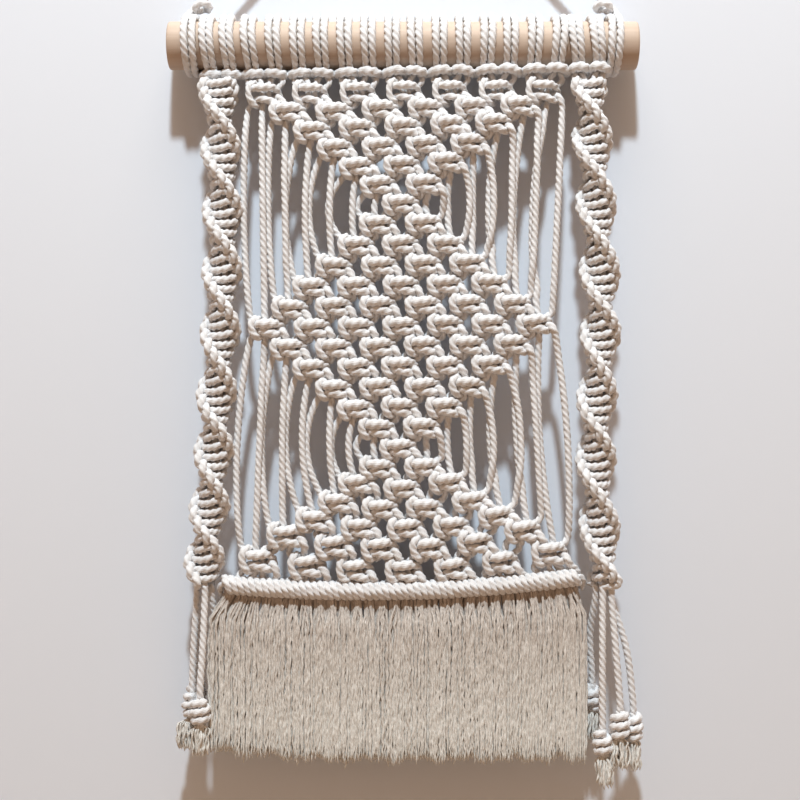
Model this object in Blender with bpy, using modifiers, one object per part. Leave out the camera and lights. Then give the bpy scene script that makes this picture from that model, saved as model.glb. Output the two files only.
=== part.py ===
"""Macrame wall hanging on a wooden dowel.

Metres, +Z up, the front faces -Y.  The origin is the point where the hanging
cord rests on its nail.  Everything below is measured from the dowel's axis and
hangs on one empty that is placed DOWEL_DROP under the nail.
"""

from math import cos, pi, radians, sin

import bmesh
import bpy
from mathutils import Vector

MM = 0.001
GAP = 0.3 * MM              # clearance between neighbouring pieces

# ---- driving dimensions ---------------------------------------------------
ROPE = 5.0 * MM             # diameter of the three-ply cotton rope
DOWEL_LENGTH = 316 * MM
DOWEL_RADIUS = 16 * MM
DOWEL_EDGE = 1.5 * MM       # rounding of the dowel's two rims
DOWEL_DROP = 172 * MM       # from the nail down to the dowel's axis

PANEL_Y = -13.5 * MM        # the middle of the knotwork hangs this far forward
PANEL_THICKNESS = 13 * MM
HEAD_PITCH = 15.6 * MM      # one lark's head to the next over the panel
SIDE_HEAD_PITCH = 13.9 * MM
SIDE_HEADS_X = 123.7 * MM   # middle of the two heads that feed a spiral
HEAD_BAR_DROP = radians(60)     # how far round from the dowel's front the bars lie
HEAD_BAR_LIFT = 0.3 * ROPE  # from the outside of the turns to the middle of a bar
HEAD_BAR_SPARE = 1.0 * MM   # a bar bulges past its turns at both ends

# ---- the knotted net ------------------------------------------------------
KNOTS_WIDE = 7              # knots in the widest row
DIAMOND_ROWS = 12           # rows from one widest row to the next
LAST_ROW = 24
NET_TOP = -22.9 * MM
ROW_HEIGHTS = (
    # row, z in millimetres: the rows are closest at the top, where the knots are tight
    (0, -31.6), (2, -58.2), (4, -82.8), (6, -109.2), (12, -190.4), (22, -324.9), (24, -351.2),
)
COLUMN = 29.8 * MM          # sideways spacing of the knots
KNOT_HALF_WIDTH = 12 * MM
LEAN = -3.0 * MM            # the two waists sit a little to one side

STRAND = ROPE + 0.2 * MM    # room that one strand takes in a pair
PAIR_BOW = 0.026            # how far the free strands bow outwards, of their length
PAIR_STEP = 30 * MM         # spacing of the points along a free pair
PAIRS = 5                   # free pairs in each quarter, inside its single strand

# ---- hem, fringe ----------------------------------------------------------
BAR_RADIUS = 5.7 * MM
BAR_LEFT = Vector((-118.7, -364.0)) * MM
BAR_MIDDLE = Vector((0.0, -368.0)) * MM
BAR_RIGHT = Vector((116.7, -358.4)) * MM
FRINGE_THICKNESS = 8 * MM
FRINGE_END = -477.6 * MM
FRINGE_FLARE = 6.5 * MM     # the outer strands spread past the bar's ends
FRINGE_SHOULDER = 20 * MM   # and reach their full spread this far under its middle
TOOTH_COUNT = 28            # one lock of unravelled yarn for each strand
TOOTH_WAVES = (
    # height, turn from one tooth to the next, start: the cut line is uneven
    (1.6 * MM, 2.1, 0.0),
    (1.4 * MM, 0.7, 1.0),
)
SLOT = 1.2 * MM
SLOT_DEPTH = 66 * MM

# ---- spirals --------------------------------------------------------------
SPIRAL_WIDTH = 26 * MM
SPIRAL_DEPTH = 17 * MM
SPIRAL_END = -362.1 * MM
SPIRAL_STEP = radians(36)   # turn between one ring of the solid and the next
SPIRAL_TURNS = {
    # side: drop for half a turn, turn of the top section in degrees
    "left": (39.1 * MM, 156.0),
    "right": (42.9 * MM, 131.0),
}
SPIRAL_ROUTES = {
    # x, z in millimetres: each spiral sways a little as it hangs
    "left": ((-123.5, -23.3), (-121.2, -79.6), (-120.2, -120.6), (-120.8, -160.6),
             (-122.0, -200.6), (-124.6, -242.6), (-126.2, -280.6), (-129.6, -317.6),
             (-132.6, -348.6), (-132.6, -362.1)),
    "right": ((123.8, -23.3), (126.7, -75.6), (129.3, -119.6), (131.7, -164.6),
              (131.7, -204.6), (128.8, -247.6), (128.6, -288.6), (131.8, -334.6),
              (133.8, -350.6), (133.8, -362.1)),
}

# ---- hanging cord and tails ----------------------------------------------
HANGER_X = {"left": -143.2 * MM, "right": 142.0 * MM}
HANGER_KNOT_X = {"left": -138.2 * MM, "right": 138.2 * MM}
HANGER_KNOT_Z = 26.8 * MM
HANGER_KNOT_SIZE = Vector((7.0, 7.0, 5.5)) * MM     # half sizes
HANGING_ROUTE = (
    # x, z in millimetres from the dowel's axis; the nail is under the middle
    (-134.0, 31.6), (-120.0, 47.1), (-100.0, 69.5), (-80.0, 91.9), (-60.0, 114.3),
    (-40.0, 136.7), (-24.0, 154.6), (-16.0, 163.6), (-10.4, 169.8), (-5.0, 173.6),
    (0.0, 174.5), (5.0, 173.6), (10.4, 169.8), (16.0, 163.6), (24.0, 154.6), (40.0, 136.7),
    (60.0, 114.3), (80.0, 91.9), (100.0, 69.5), (120.0, 47.1), (134.0, 31.6),
)
TAILS = (
    # name, top x y, middle x y, knot x y, knot top z, knot length (mm)
    ("left_1", (-137.6, -12.0), (-139.4, -12.5), (-140.8, -11.5), -435.6, 19.0),
    ("left_2", (-131.6, -17.5), (-132.4, -20.5), (-134.0, -22.6), -437.1, 19.0),
    ("left_3", (-134.4, -6.2), (-137.2, -2.5), (-140.2, 2.4), -430.6, 19.0),
    ("left_4", (-128.0, -10.2), (-124.0, -4.0), (-121.0, -0.5), -439.6, 19.0),
    ("right_1", (129.0, -11.5), (126.0, -4.2), (127.6, -2.0), -431.6, 18.0),
    ("right_2", (132.6, -18.0), (132.2, -20.0), (132.4, -19.2), -458.6, 19.0),
    ("right_3", (138.6, -17.0), (141.0, -19.4), (143.6, -20.4), -446.1, 20.0),
    ("right_4", (138.6, -10.8), (149.2, -12.0), (153.6, -11.8), -449.1, 20.0),
)
TAIL_LEAD = 8 * MM          # a tail leaves its spiral and meets its knot plumb
KNOT_RADIUS = 6.2 * MM
KNOT_WAIST = 3.4 * MM       # radius where a rope enters and leaves its knot
KNOT_FULLNESS = 0.6         # under 1 makes the knot's sides rounder
TUFT_LENGTH = 18 * MM
TUFT_RADIUS = 4.6 * MM


# ---- scene and materials --------------------------------------------------

def clear_scene():
    for thing in list(bpy.data.objects):
        bpy.data.objects.remove(thing, do_unlink=True)


def new_collection(name):
    collection = bpy.data.collections.new(name)
    bpy.context.scene.collection.children.link(collection)
    return collection


def new_material(name, colour, roughness):
    material = bpy.data.materials.new(name)
    material.use_nodes = True
    shader = material.node_tree.nodes["Principled BSDF"]
    shader.inputs["Base Color"].default_value = (*colour, 1.0)
    shader.inputs["Roughness"].default_value = roughness
    shader.inputs["Metallic"].default_value = 0.0
    material.diffuse_color = (*colour, 1.0)
    return material


def add_piece(name, data, material, place=(0.0, 0.0, 0.0)):
    """Put a piece into the object's collection, hung on the dowel's empty."""
    piece = bpy.data.objects.new(name, data)
    piece.location = place
    piece.parent = hanging
    parts.objects.link(piece)
    data.materials.clear()
    data.materials.append(material)
    return piece


def add_guide(name, data):
    """A cutter or a section: it shapes other pieces and is left out itself."""
    guide = bpy.data.objects.new(name, data)
    guide.hide_render = True
    guide.display_type = "WIRE"
    guides.objects.link(guide)
    return guide


# ---- shapes ---------------------------------------------------------------

def smooth_route(points, spacing):
    """Points at an even spacing on a Catmull-Rom curve through the given ones."""
    points = [Vector(point) for point in points]
    ends = [2 * points[0] - points[1], *points, 2 * points[-1] - points[-2]]
    fine = [points[0]]
    steps = 12
    for before, start, end, after in zip(ends, ends[1:], ends[2:], ends[3:]):
        for step in range(1, steps + 1):
            t = step / steps
            fine.append(0.5 * (2 * start + (end - before) * t
                               + (2 * before - 5 * start + 4 * end - after) * t ** 2
                               + (3 * start - before - 3 * end + after) * t ** 3))
    travelled = [0.0]
    for here, there in zip(fine, fine[1:]):
        travelled.append(travelled[-1] + (there - here).length)
    count = max(2, round(travelled[-1] / spacing))
    route, place = [], 0
    for index in range(count + 1):
        wanted = travelled[-1] * index / count
        while place < len(fine) - 2 and travelled[place + 1] < wanted:
            place += 1
        share = (wanted - travelled[place]) / (travelled[place + 1] - travelled[place])
        route.append(fine[place].lerp(fine[place + 1], share))
    return route


def poly_curve(name, points, tilts=None):
    curve = bpy.data.curves.new(name, "CURVE")
    curve.dimensions = "3D"
    spline = curve.splines.new("POLY")
    spline.points.add(len(points) - 1)
    for index, (knot, point) in enumerate(zip(spline.points, points)):
        knot.co = (*point, 1.0)
        knot.tilt = tilts[index] if tilts else 0.0
    spline.use_smooth = True
    curve.use_fill_caps = True
    return curve


def tube(name, points, radius):
    """A round rope run: eight sides along a poly line."""
    curve = poly_curve(name, points)
    curve.bevel_depth = radius
    curve.bevel_resolution = 2
    return curve


def swept(name, points, section, tilts=None):
    """A section curve carried along a poly line."""
    curve = poly_curve(name, points, tilts)
    curve.bevel_mode = "OBJECT"
    curve.bevel_object = section
    curve.twist_mode = "MINIMUM"
    return curve


def oval_section(name, width, depth, sides):
    """A closed oval with its width along X and its depth along Y."""
    curve = bpy.data.curves.new(name, "CURVE")
    curve.dimensions = "2D"
    spline = curve.splines.new("POLY")
    spline.points.add(sides - 1)
    for index, knot in enumerate(spline.points):
        angle = -2 * pi * (index + 0.5) / sides
        knot.co = (0.5 * width * cos(angle), 0.5 * depth * sin(angle), 0.0, 1.0)
    spline.use_cyclic_u = True
    return add_guide(name, curve)


def slab(name, outline, thickness):
    """A flat outline in X and Z, filled and given its thickness in Y."""
    curve = bpy.data.curves.new(name, "CURVE")
    curve.dimensions = "2D"
    curve.fill_mode = "BOTH"
    curve.extrude = 0.5 * thickness
    spline = curve.splines.new("POLY")
    spline.points.add(len(outline) - 1)
    for knot, (x, z) in zip(spline.points, outline):
        knot.co = (x, z, 0.0, 1.0)
    spline.use_cyclic_u = True
    return curve


def add_slab(name, outline, thickness, material):
    piece = add_piece(name, slab(name, outline, thickness), material, (0.0, PANEL_Y, 0.0))
    piece.rotation_euler = (pi / 2, 0.0, 0.0)
    return piece


def turned(name, profile, axis, sides):
    """A closed or pole-to-pole profile of (radius, height) turned about an axis."""
    mesh = bpy.data.meshes.new(name)
    shape = bmesh.new()
    points = []
    for radius, height in profile:
        place = (height, 0.0, radius) if axis == "X" else (radius, 0.0, height)
        points.append(shape.verts.new(place))
    for here, there in zip(points, points[1:]):
        shape.edges.new((here, there))
    if axis == "X":
        shape.edges.new((points[-1], points[0]))
    shape.to_mesh(mesh)
    shape.free()
    guide = add_guide(name + "_profile", mesh)
    screw = guide.modifiers.new("turn", "SCREW")
    screw.axis = axis
    screw.steps = sides
    screw.render_steps = sides
    screw.use_merge_vertices = True
    screw.merge_threshold = 0.00005
    screw.use_normal_calculate = True
    return guide


def joined(name, first, others):
    """One closed body out of overlapping guides."""
    for other in others:
        union = first.modifiers.new("join_" + other.name, "BOOLEAN")
        union.operation = "UNION"
        union.solver = "EXACT"
        union.object = other
    bpy.context.view_layer.update()
    depsgraph = bpy.context.evaluated_depsgraph_get()
    mesh = bpy.data.meshes.new_from_object(first.evaluated_get(depsgraph))
    mesh.name = name
    mesh.shade_smooth()
    mesh.set_sharp_from_angle(angle=radians(40))
    return mesh


# ---- the dowel ------------------------------------------------------------

def make_dowel():
    half, edge = 0.5 * DOWEL_LENGTH, DOWEL_EDGE
    mesh = bpy.data.meshes.new("dowel")
    shape = bmesh.new()
    bmesh.ops.create_cone(shape, cap_ends=True, segments=32, radius1=DOWEL_RADIUS,
                          radius2=DOWEL_RADIUS, depth=2 * half)
    shape.to_mesh(mesh)
    shape.free()
    mesh.shade_smooth()
    mesh.set_sharp_from_angle(angle=radians(40))
    dowel = add_piece("dowel", mesh, wood)
    dowel.rotation_euler = (0.0, pi / 2, 0.0)
    rounding = dowel.modifiers.new("rims", "BEVEL")
    rounding.width = edge
    rounding.segments = 2
    rounding.limit_method = "ANGLE"
    rounding.angle_limit = radians(60)


# ---- lark's heads and the hanging cord's turns ----------------------------

RING_SIDES = 16
RING_INNER = DOWEL_RADIUS / cos(pi / RING_SIDES) + GAP
RING_OUTER = RING_INNER + ROPE
RING_WIDTH = 2 * ROPE + GAP


def ring(name, width):
    """The band that two neighbouring turns of rope make around the dowel."""
    side = 0.5 * width
    profile = ((RING_INNER, -side), (RING_OUTER, -side), (RING_OUTER, side), (RING_INNER, side))
    return turned(name, profile, "X", RING_SIDES)


def head_mesh(name, pitch):
    """Two lark's heads: two bands and the bars that lock them low at the front."""
    left, right = ring(name + "_a", RING_WIDTH), ring(name + "_b", RING_WIDTH)
    left.location.x, right.location.x = -0.5 * pitch, 0.5 * pitch
    reach = RING_OUTER + HEAD_BAR_LIFT
    place = Vector((0.0, -reach * cos(HEAD_BAR_DROP), -reach * sin(HEAD_BAR_DROP)))
    half = 0.5 * (pitch + RING_WIDTH) + HEAD_BAR_SPARE
    run = [place + Vector((share * half, 0.0, 0.0)) for share in (-1.0, 1.0)]
    bar = add_guide(name + "_bar", mesh_of_curve(name + "_bar", tube(name, run, 0.5 * ROPE)))
    return joined(name, add_guide(name, placed_mesh(left)), [right, bar])


def mesh_of_curve(name, curve):
    """A curve's tube as a mesh with its caps welded on."""
    holder = bpy.data.objects.new(name, curve)
    guides.objects.link(holder)
    bpy.context.view_layer.update()
    depsgraph = bpy.context.evaluated_depsgraph_get()
    mesh = bpy.data.meshes.new_from_object(holder.evaluated_get(depsgraph))
    bpy.data.objects.remove(holder)
    shape = bmesh.new()
    shape.from_mesh(mesh)
    bmesh.ops.remove_doubles(shape, verts=shape.verts, dist=0.00001)
    shape.to_mesh(mesh)
    shape.free()
    return mesh


def placed_mesh(guide):
    """A guide's evaluated mesh, moved to where the guide stands."""
    bpy.context.view_layer.update()
    depsgraph = bpy.context.evaluated_depsgraph_get()
    mesh = bpy.data.meshes.new_from_object(guide.evaluated_get(depsgraph))
    mesh.transform(guide.matrix_world)
    return mesh


def make_lark_heads():
    panel_mesh = head_mesh("panel_heads", HEAD_PITCH)
    side_mesh = head_mesh("side_heads", SIDE_HEAD_PITCH)
    sets = KNOTS_WIDE + 2
    for index in range(sets):
        outer = index in (0, sets - 1)
        column = index - (sets - 1) / 2
        x = SIDE_HEADS_X * (1 if column > 0 else -1) if outer else column * 2 * HEAD_PITCH
        add_piece(f"lark_heads_{index + 1}", side_mesh if outer else panel_mesh, rope, (x, 0.0, 0.0))


def make_hanger():
    """The V of rope from the nail, and the turns and knot at each of its ends."""
    route = [(x * MM, 0.0, z * MM) for x, z in HANGING_ROUTE]
    add_piece("hanging_cord", tube("hanging_cord", smooth_route(route, 2 * ROPE), 0.5 * ROPE), rope)
    for side, x in HANGER_X.items():
        band = ring("turns_" + side, RING_WIDTH)
        band.location.x = x
        knot_mesh = bpy.data.meshes.new("knot_" + side)
        shape = bmesh.new()
        bmesh.ops.create_uvsphere(shape, u_segments=10, v_segments=6, radius=1.0)
        shape.to_mesh(knot_mesh)
        shape.free()
        knot = add_guide("knot_" + side, knot_mesh)
        knot.location = (HANGER_KNOT_X[side], 0.0, HANGER_KNOT_Z)
        knot.scale = HANGER_KNOT_SIZE
        carrier = add_guide("turns_and_knot_" + side, placed_mesh(band))
        mesh = joined("hanger_turns_" + side, carrier, [knot])
        add_piece("hanger_turns_" + side, mesh, rope)


# ---- the knotted net ------------------------------------------------------

def knots_in(row):
    """Seven knots, one fewer in each row down to a single one, and out again."""
    return 1 + abs(KNOTS_WIDE - 1 - row % DIAMOND_ROWS)


def row_z(row):
    """The height of a row of knots, between the ones that are given."""
    for (above, top), (below, low) in zip(ROW_HEIGHTS, ROW_HEIGHTS[1:]):
        if row <= below:
            return (top + (low - top) * (row - above) / (below - above)) * MM
    return ROW_HEIGHTS[-1][1] * MM


def row_middle(row):
    return LEAN * sin(pi * row / DIAMOND_ROWS) ** 2


def column_pitch(row):
    """The knots spread at the dowel and again at the hem."""
    return COLUMN + 1.4 * MM * max(0.0, 1 - row / 3) + 2.6 * MM * max(0.0, (row - 20) / 4)


def row_side(row, side):
    """Where a row of knots ends, on the left (-1) or on the right (1)."""
    half = 0.5 * (knots_in(row) - 1) * column_pitch(row) + KNOT_HALF_WIDTH
    if knots_in(row) == 1:
        half += STRAND      # a lone knot has a strand passing close on each side
    return row_middle(row) + side * half


def bar_z(x):
    """The bar's sagging centre line: a parabola through its ends and middle."""
    left, middle, right = BAR_LEFT, BAR_MIDDLE, BAR_RIGHT
    return (left.y * (x - middle.x) * (x - right.x) / ((left.x - middle.x) * (left.x - right.x))
            + middle.y * (x - left.x) * (x - right.x)
            / ((middle.x - left.x) * (middle.x - right.x))
            + right.y * (x - left.x) * (x - middle.x)
            / ((right.x - left.x) * (right.x - middle.x)))


def between(row):
    """The height of the boundary under a row."""
    return 0.5 * (row_z(row) + row_z(row + 1))


def net_outline(first, last):
    """Stepped outline of the rows first to last, one step a row on each side."""
    top = {row: between(row - 1) - (GAP if row == first else 0.0) for row in range(first, last + 1)}
    top[0] = NET_TOP
    right = []
    for row in range(first, last + 1):
        edge = row_side(row, 1)
        right += [(edge, top[row]), (edge, between(row))]
    left = []
    for row in range(last, first - 1, -1):
        edge = row_side(row, -1)
        left += [(edge, between(row)), (edge, top[row])]
    if last == LAST_ROW:
        low = BAR_RADIUS + GAP
        count = 2 * KNOTS_WIDE
        start, end = row_side(last, 1), row_side(last, -1)
        hem = [start + (end - start) * step / count for step in range(count + 1)]
        right = right[:-1] + [(x, bar_z(x) + low) for x in hem[:-1]]
        left[0] = (hem[-1], bar_z(hem[-1]) + low)
    return right + left


def make_net():
    half = DIAMOND_ROWS // 2
    fields = (("net_upper", 0, half - 1), ("net_diamond", half, LAST_ROW - half),
              ("net_lower", LAST_ROW - half + 1, LAST_ROW))
    for name, first, last in fields:
        add_slab(name, net_outline(first, last), PANEL_THICKNESS, rope)


def quarters():
    """The four fans of free strands: name, first row above, and side."""
    for level, start in (("upper", 0), ("lower", DIAMOND_ROWS)):
        for side_name, side in (("left", -1), ("right", 1)):
            yield f"{level}_{side_name}", start, side


def bowed(x_top, x_end, z_top, z_end, side, z):
    """X on a strand that runs from top to end and bows outwards between them."""
    t = (z_top - z) / (z_top - z_end)
    return x_top + (x_end - x_top) * t + side * PAIR_BOW * (z_top - z_end) * sin(pi * t) ** 2


def make_edge_strands():
    """The single outermost strand of each quarter, close to the spiral."""
    for name, start, side in quarters():
        end = start + DIAMOND_ROWS
        z_top, z_end = between(start) - 2 * GAP, between(end - 1) + 2 * GAP
        x_top, x_end = (row_side(row, side) - 0.5 * side * STRAND for row in (start, end))
        steps = 8
        run = []
        for step in range(steps + 1):
            z = z_top + (z_end - z_top) * step / steps
            run.append((bowed(x_top, x_end, z_top, z_end, side, z), 0.0, z))
        name = "strand_" + name
        add_piece(name, tube(name, run, 0.5 * ROPE), rope, (0.0, PANEL_Y, 0.0))


def make_free_pairs():
    """Neighbouring strands of two rows: the outer one starts a row higher.

    Each pair straddles the corner of a step, so above its inner strand only the
    outer one shows, and again below.
    """
    for name, start, side in quarters():
        for pair in range(1, PAIRS + 1):
            above, below = start + pair, start + DIAMOND_ROWS - pair
            ends = (row_side(above, side), row_side(below, side),
                    between(above - 1) - GAP, between(below) + GAP, side)
            z_top, z_end = between(above) - GAP, between(below - 1) + GAP
            steps = max(2, round((z_top - z_end) / PAIR_STEP))
            inner = [z_top + (z_end - z_top) * step / steps for step in range(steps + 1)]
            outline = [(ends[0] + side * STRAND, ends[2])]
            outline += [(bowed(*ends, z) + side * STRAND, z) for z in inner]
            outline += [(ends[1] + side * STRAND, ends[3]), (ends[1] + side * GAP, ends[3])]
            outline.append((bowed(*ends, z_end) + side * GAP, z_end))
            outline += [(bowed(*ends, z) - side * STRAND, z) for z in reversed(inner)]
            outline.append((bowed(*ends, z_top) + side * GAP, z_top))
            outline.append((ends[0] + side * GAP, ends[2]))
            add_slab(f"pair_{name}_{pair}", outline, ROPE, rope)


# ---- hem and fringe -------------------------------------------------------

def make_hitch_bar():
    steps = 14
    run = []
    for step in range(steps + 1):
        x = BAR_LEFT.x + (BAR_RIGHT.x - BAR_LEFT.x) * step / steps
        run.append((x, 0.0, bar_z(x)))
    add_piece("hitch_bar", tube("hitch_bar", run, BAR_RADIUS), rope, (0.0, PANEL_Y, 0.0))


def fringe_x(share, z):
    """Across the fringe: it flares to its full width just under the bar."""
    drop = min(1.0, (BAR_MIDDLE.y - z) / FRINGE_SHOULDER)
    half = 0.5 * (BAR_RIGHT.x - BAR_LEFT.x)
    return 0.5 * (BAR_LEFT.x + BAR_RIGHT.x) + (half + FRINGE_FLARE * drop) * share


def make_fringe():
    """A comb: one tooth for each strand, with uneven ends."""
    outline = []
    crown = 12
    for step in range(crown + 1):
        x = BAR_LEFT.x + (BAR_RIGHT.x - BAR_LEFT.x) * step / crown
        outline.append((x, bar_z(x) - BAR_RADIUS - GAP))
    shoulder = BAR_MIDDLE.y - FRINGE_SHOULDER
    outline.append((fringe_x(1.0, shoulder), shoulder))
    tooth_share = 2.0 / TOOTH_COUNT
    for tooth in range(TOOTH_COUNT):
        right_share = 1.0 - tooth * tooth_share
        left_share = right_share - tooth_share
        end = FRINGE_END + sum(wave * sin(turn * tooth + start)
                               for wave, turn, start in TOOTH_WAVES)
        right = fringe_x(right_share, end) - (0.5 * SLOT if tooth else 0.0)
        left = fringe_x(left_share, end) + (0.5 * SLOT if tooth < TOOTH_COUNT - 1 else 0.0)
        if tooth:
            outline.append((right, FRINGE_END + SLOT_DEPTH))
        outline += [(right, end), (left, end)]
        if tooth < TOOTH_COUNT - 1:
            outline.append((left, FRINGE_END + SLOT_DEPTH))
    outline.append((fringe_x(-1.0, shoulder), shoulder))
    add_slab("fringe", outline, FRINGE_THICKNESS, yarn)


# ---- spirals and tails ----------------------------------------------------

def make_spirals():
    section = oval_section("spiral_section", SPIRAL_WIDTH, SPIRAL_DEPTH, 8)
    for side, (half_turn, start) in SPIRAL_TURNS.items():
        turn = pi * (NET_TOP - SPIRAL_END) / half_turn
        steps = round(turn / SPIRAL_STEP)
        route = [(x * MM, 0.0, z * MM) for x, z in SPIRAL_ROUTES[side]]
        run = smooth_route(route, (NET_TOP - SPIRAL_END) / steps)
        tilts = [radians(start) - turn * step / (len(run) - 1) for step in range(len(run))]
        name = "spiral_" + side
        add_piece(name, swept(name, run, section, tilts), rope, (0.0, PANEL_Y, 0.0))


def tail_knot_mesh(length):
    """A turned overhand knot, barrel-shaped, with its frayed end hanging below."""
    low = -length
    profile = [(0.0, 0.0), (KNOT_WAIST, -GAP)]
    for share in (0.2, 0.4, 0.6, 0.8):
        profile.append((KNOT_RADIUS * sin(pi * share) ** KNOT_FULLNESS, low * share))
    profile += [(KNOT_WAIST, low), (TUFT_RADIUS, low - 0.5 * TUFT_LENGTH),
                (TUFT_RADIUS, low - TUFT_LENGTH), (0.0, low - TUFT_LENGTH)]
    return placed_mesh(turned("tail_knot", profile, "Z", 10))


def make_tails():
    for name, top, middle, knot, knot_z, length in TAILS:
        start, end = SPIRAL_END - 2 * GAP, knot_z * MM + GAP
        heights = (start, start - TAIL_LEAD, 0.5 * (start + end), end + TAIL_LEAD, end)
        places = (top, top, middle, knot, knot)
        route = [(x * MM, y * MM, z) for (x, y), z in zip(places, heights)]
        run = smooth_route(route, 3 * ROPE)
        add_piece("tail_" + name, tube("tail_" + name, run, 0.5 * ROPE), rope)
        mesh = tail_knot_mesh(length * MM)
        add_piece("tail_knot_" + name, mesh, rope, (knot[0] * MM, knot[1] * MM, knot_z * MM))


# ---- build ----------------------------------------------------------------

clear_scene()
parts = new_collection("macrame_wall_hanging")
guides = new_collection("sections_and_cutters")
wood = new_material("birch", (0.66, 0.48, 0.30), 0.55)
rope = new_material("cotton_rope", (0.80, 0.76, 0.70), 0.9)
yarn = new_material("unravelled_yarn", (0.72, 0.66, 0.56), 0.95)

hanging = bpy.data.objects.new("hanging", None)
hanging.location = (0.0, 0.0, -DOWEL_DROP)
parts.objects.link(hanging)

make_dowel()
make_hanger()
make_lark_heads()
make_net()
make_edge_strands()
make_free_pairs()
make_hitch_bar()
make_fringe()
make_spirals()
make_tails()
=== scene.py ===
# %% [markdown]
# # A macrame wall hanging, drawn knot by knot
#
# This notebook dresses a macrame wall hanging: cotton rope tied on a round
# wooden dowel. The plain solids of the hanging are loaded first and fix every
# size and place. Each cell then makes one part of the real thing, the way a
# maker ties it: folded cords, square knots, spirals, a hem of hitches, a fringe.
#
# Lengths are metres. +X runs along the dowel, +Z is up, the front faces -Y,
# and the hanging cord rests on its nail at the origin.

import bpy
import numpy as np
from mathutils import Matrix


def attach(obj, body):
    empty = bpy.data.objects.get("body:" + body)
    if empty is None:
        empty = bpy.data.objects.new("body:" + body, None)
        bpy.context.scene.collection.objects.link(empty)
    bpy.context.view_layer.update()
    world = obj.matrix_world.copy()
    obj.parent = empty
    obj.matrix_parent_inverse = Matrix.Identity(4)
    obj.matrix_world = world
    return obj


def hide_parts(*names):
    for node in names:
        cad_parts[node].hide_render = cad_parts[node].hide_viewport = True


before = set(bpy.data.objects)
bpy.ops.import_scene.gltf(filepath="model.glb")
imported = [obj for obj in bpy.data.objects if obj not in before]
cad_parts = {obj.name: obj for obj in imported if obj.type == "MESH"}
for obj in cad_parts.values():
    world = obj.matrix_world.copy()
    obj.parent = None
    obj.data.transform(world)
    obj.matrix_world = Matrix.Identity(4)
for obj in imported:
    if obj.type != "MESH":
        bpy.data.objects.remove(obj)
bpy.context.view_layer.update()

MM = 0.001
ROPE = 5.0 * MM                     # diameter of the three-ply cotton rope
LAY = 14.6 * MM                     # length in which its plies turn once
dice = np.random.default_rng(7)

# %% [markdown]
# ## Camera and stage
#
# The camera stands straight in front, 0.95 m away, level with the middle of
# the hanging. A pale backdrop stands close behind it and catches the shadows,
# as a wall would. It is see-through from behind, so that the back of the
# hanging can be looked at too. The floor is far below. A long lens from further
# away would flatten the knots, so the distance comes first and the lens after.

# %% Camera
VIEW_MIDDLE = (-2 * MM, -411.6 * MM)  # x and z of what the camera looks at
VIEW_DISTANCE = 953.5 * MM
SENSOR, LENS = 36.0, 63.4           # both in millimetres

camera_data = bpy.data.cameras.new("camera")
camera_data.sensor_width = SENSOR
camera_data.lens = LENS
camera = bpy.data.objects.new("camera", camera_data)
camera.location = (VIEW_MIDDLE[0], -VIEW_DISTANCE, VIEW_MIDDLE[1])
camera.rotation_euler = (np.pi / 2, 0.0, 0.0)
bpy.context.scene.collection.objects.link(camera)
bpy.context.scene.camera = camera
print("camera at", tuple(round(value, 3) for value in camera.location))

# %% [markdown]
# ## Meshes from arrays
#
# Everything that is tied here is a long thin surface: a section carried along
# a path. Such a surface is a grid of points, rings by sides, so it can be
# worked out in numpy as whole arrays and handed to Blender in one go.

# %% Arrays to a mesh
def new_object(name, points, faces, corner_uv=None):
    """Hand arrays to Blender: points (n, 3) and four-cornered faces (m, 4).

    A face with its last corner equal to its third is a triangle.
    """
    mesh = bpy.data.meshes.new(name)
    is_quad = faces[:, 3] != faces[:, 2]
    sizes = np.where(is_quad, 4, 3)
    keep = np.ones(faces.shape, bool)
    keep[:, 3] = is_quad
    corners = faces[keep]
    mesh.vertices.add(len(points))
    mesh.vertices.foreach_set("co", np.asarray(points, np.float32).ravel())
    mesh.loops.add(len(corners))
    mesh.loops.foreach_set("vertex_index", corners.astype(np.int32))
    mesh.polygons.add(len(faces))
    starts = np.concatenate([[0], np.cumsum(sizes)[:-1]])
    mesh.polygons.foreach_set("loop_start", starts.astype(np.int32))
    mesh.update(calc_edges=True)
    mesh.validate()
    if corner_uv is not None:
        layer = mesh.uv_layers.new(name="along_and_around")
        layer.data.foreach_set("uv", corner_uv[keep].astype(np.float32).ravel())
    mesh.shade_smooth()
    thing = bpy.data.objects.new(name, mesh)
    bpy.context.scene.collection.objects.link(thing)
    return thing


# %% [markdown]
# ## Smooth paths
#
# A rope is laid out as a few points where it must pass. A Catmull-Rom curve
# runs through all of them without corners. The curve is then read off again at
# even steps, so that the plies of the rope turn evenly along it.

# %% Curves through points
FINE_STEPS = 8                      # samples between two points of a route


def lengths(vectors):
    """Root of the sum of squares over the last axis."""
    return np.sqrt((vectors * vectors).sum(-1))


def travelled(path):
    """Distance from the start of a path to each of its points; columns after z don't count."""
    return np.concatenate([[0.0], np.cumsum(lengths(np.diff(path[:, :3], axis=0)))])


def metres(paths):
    """The length of all of these paths together, as text."""
    return "%.2f m" % sum(travelled(path)[-1] for path in paths)


def at_even_steps(path, step):
    """The same line, read off at even steps of its own length."""
    run = travelled(path)
    wanted = np.linspace(0.0, run[-1], max(3, int(round(run[-1] / step)) + 1))
    return np.stack([np.interp(wanted, run, column) for column in path.T], 1)


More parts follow.
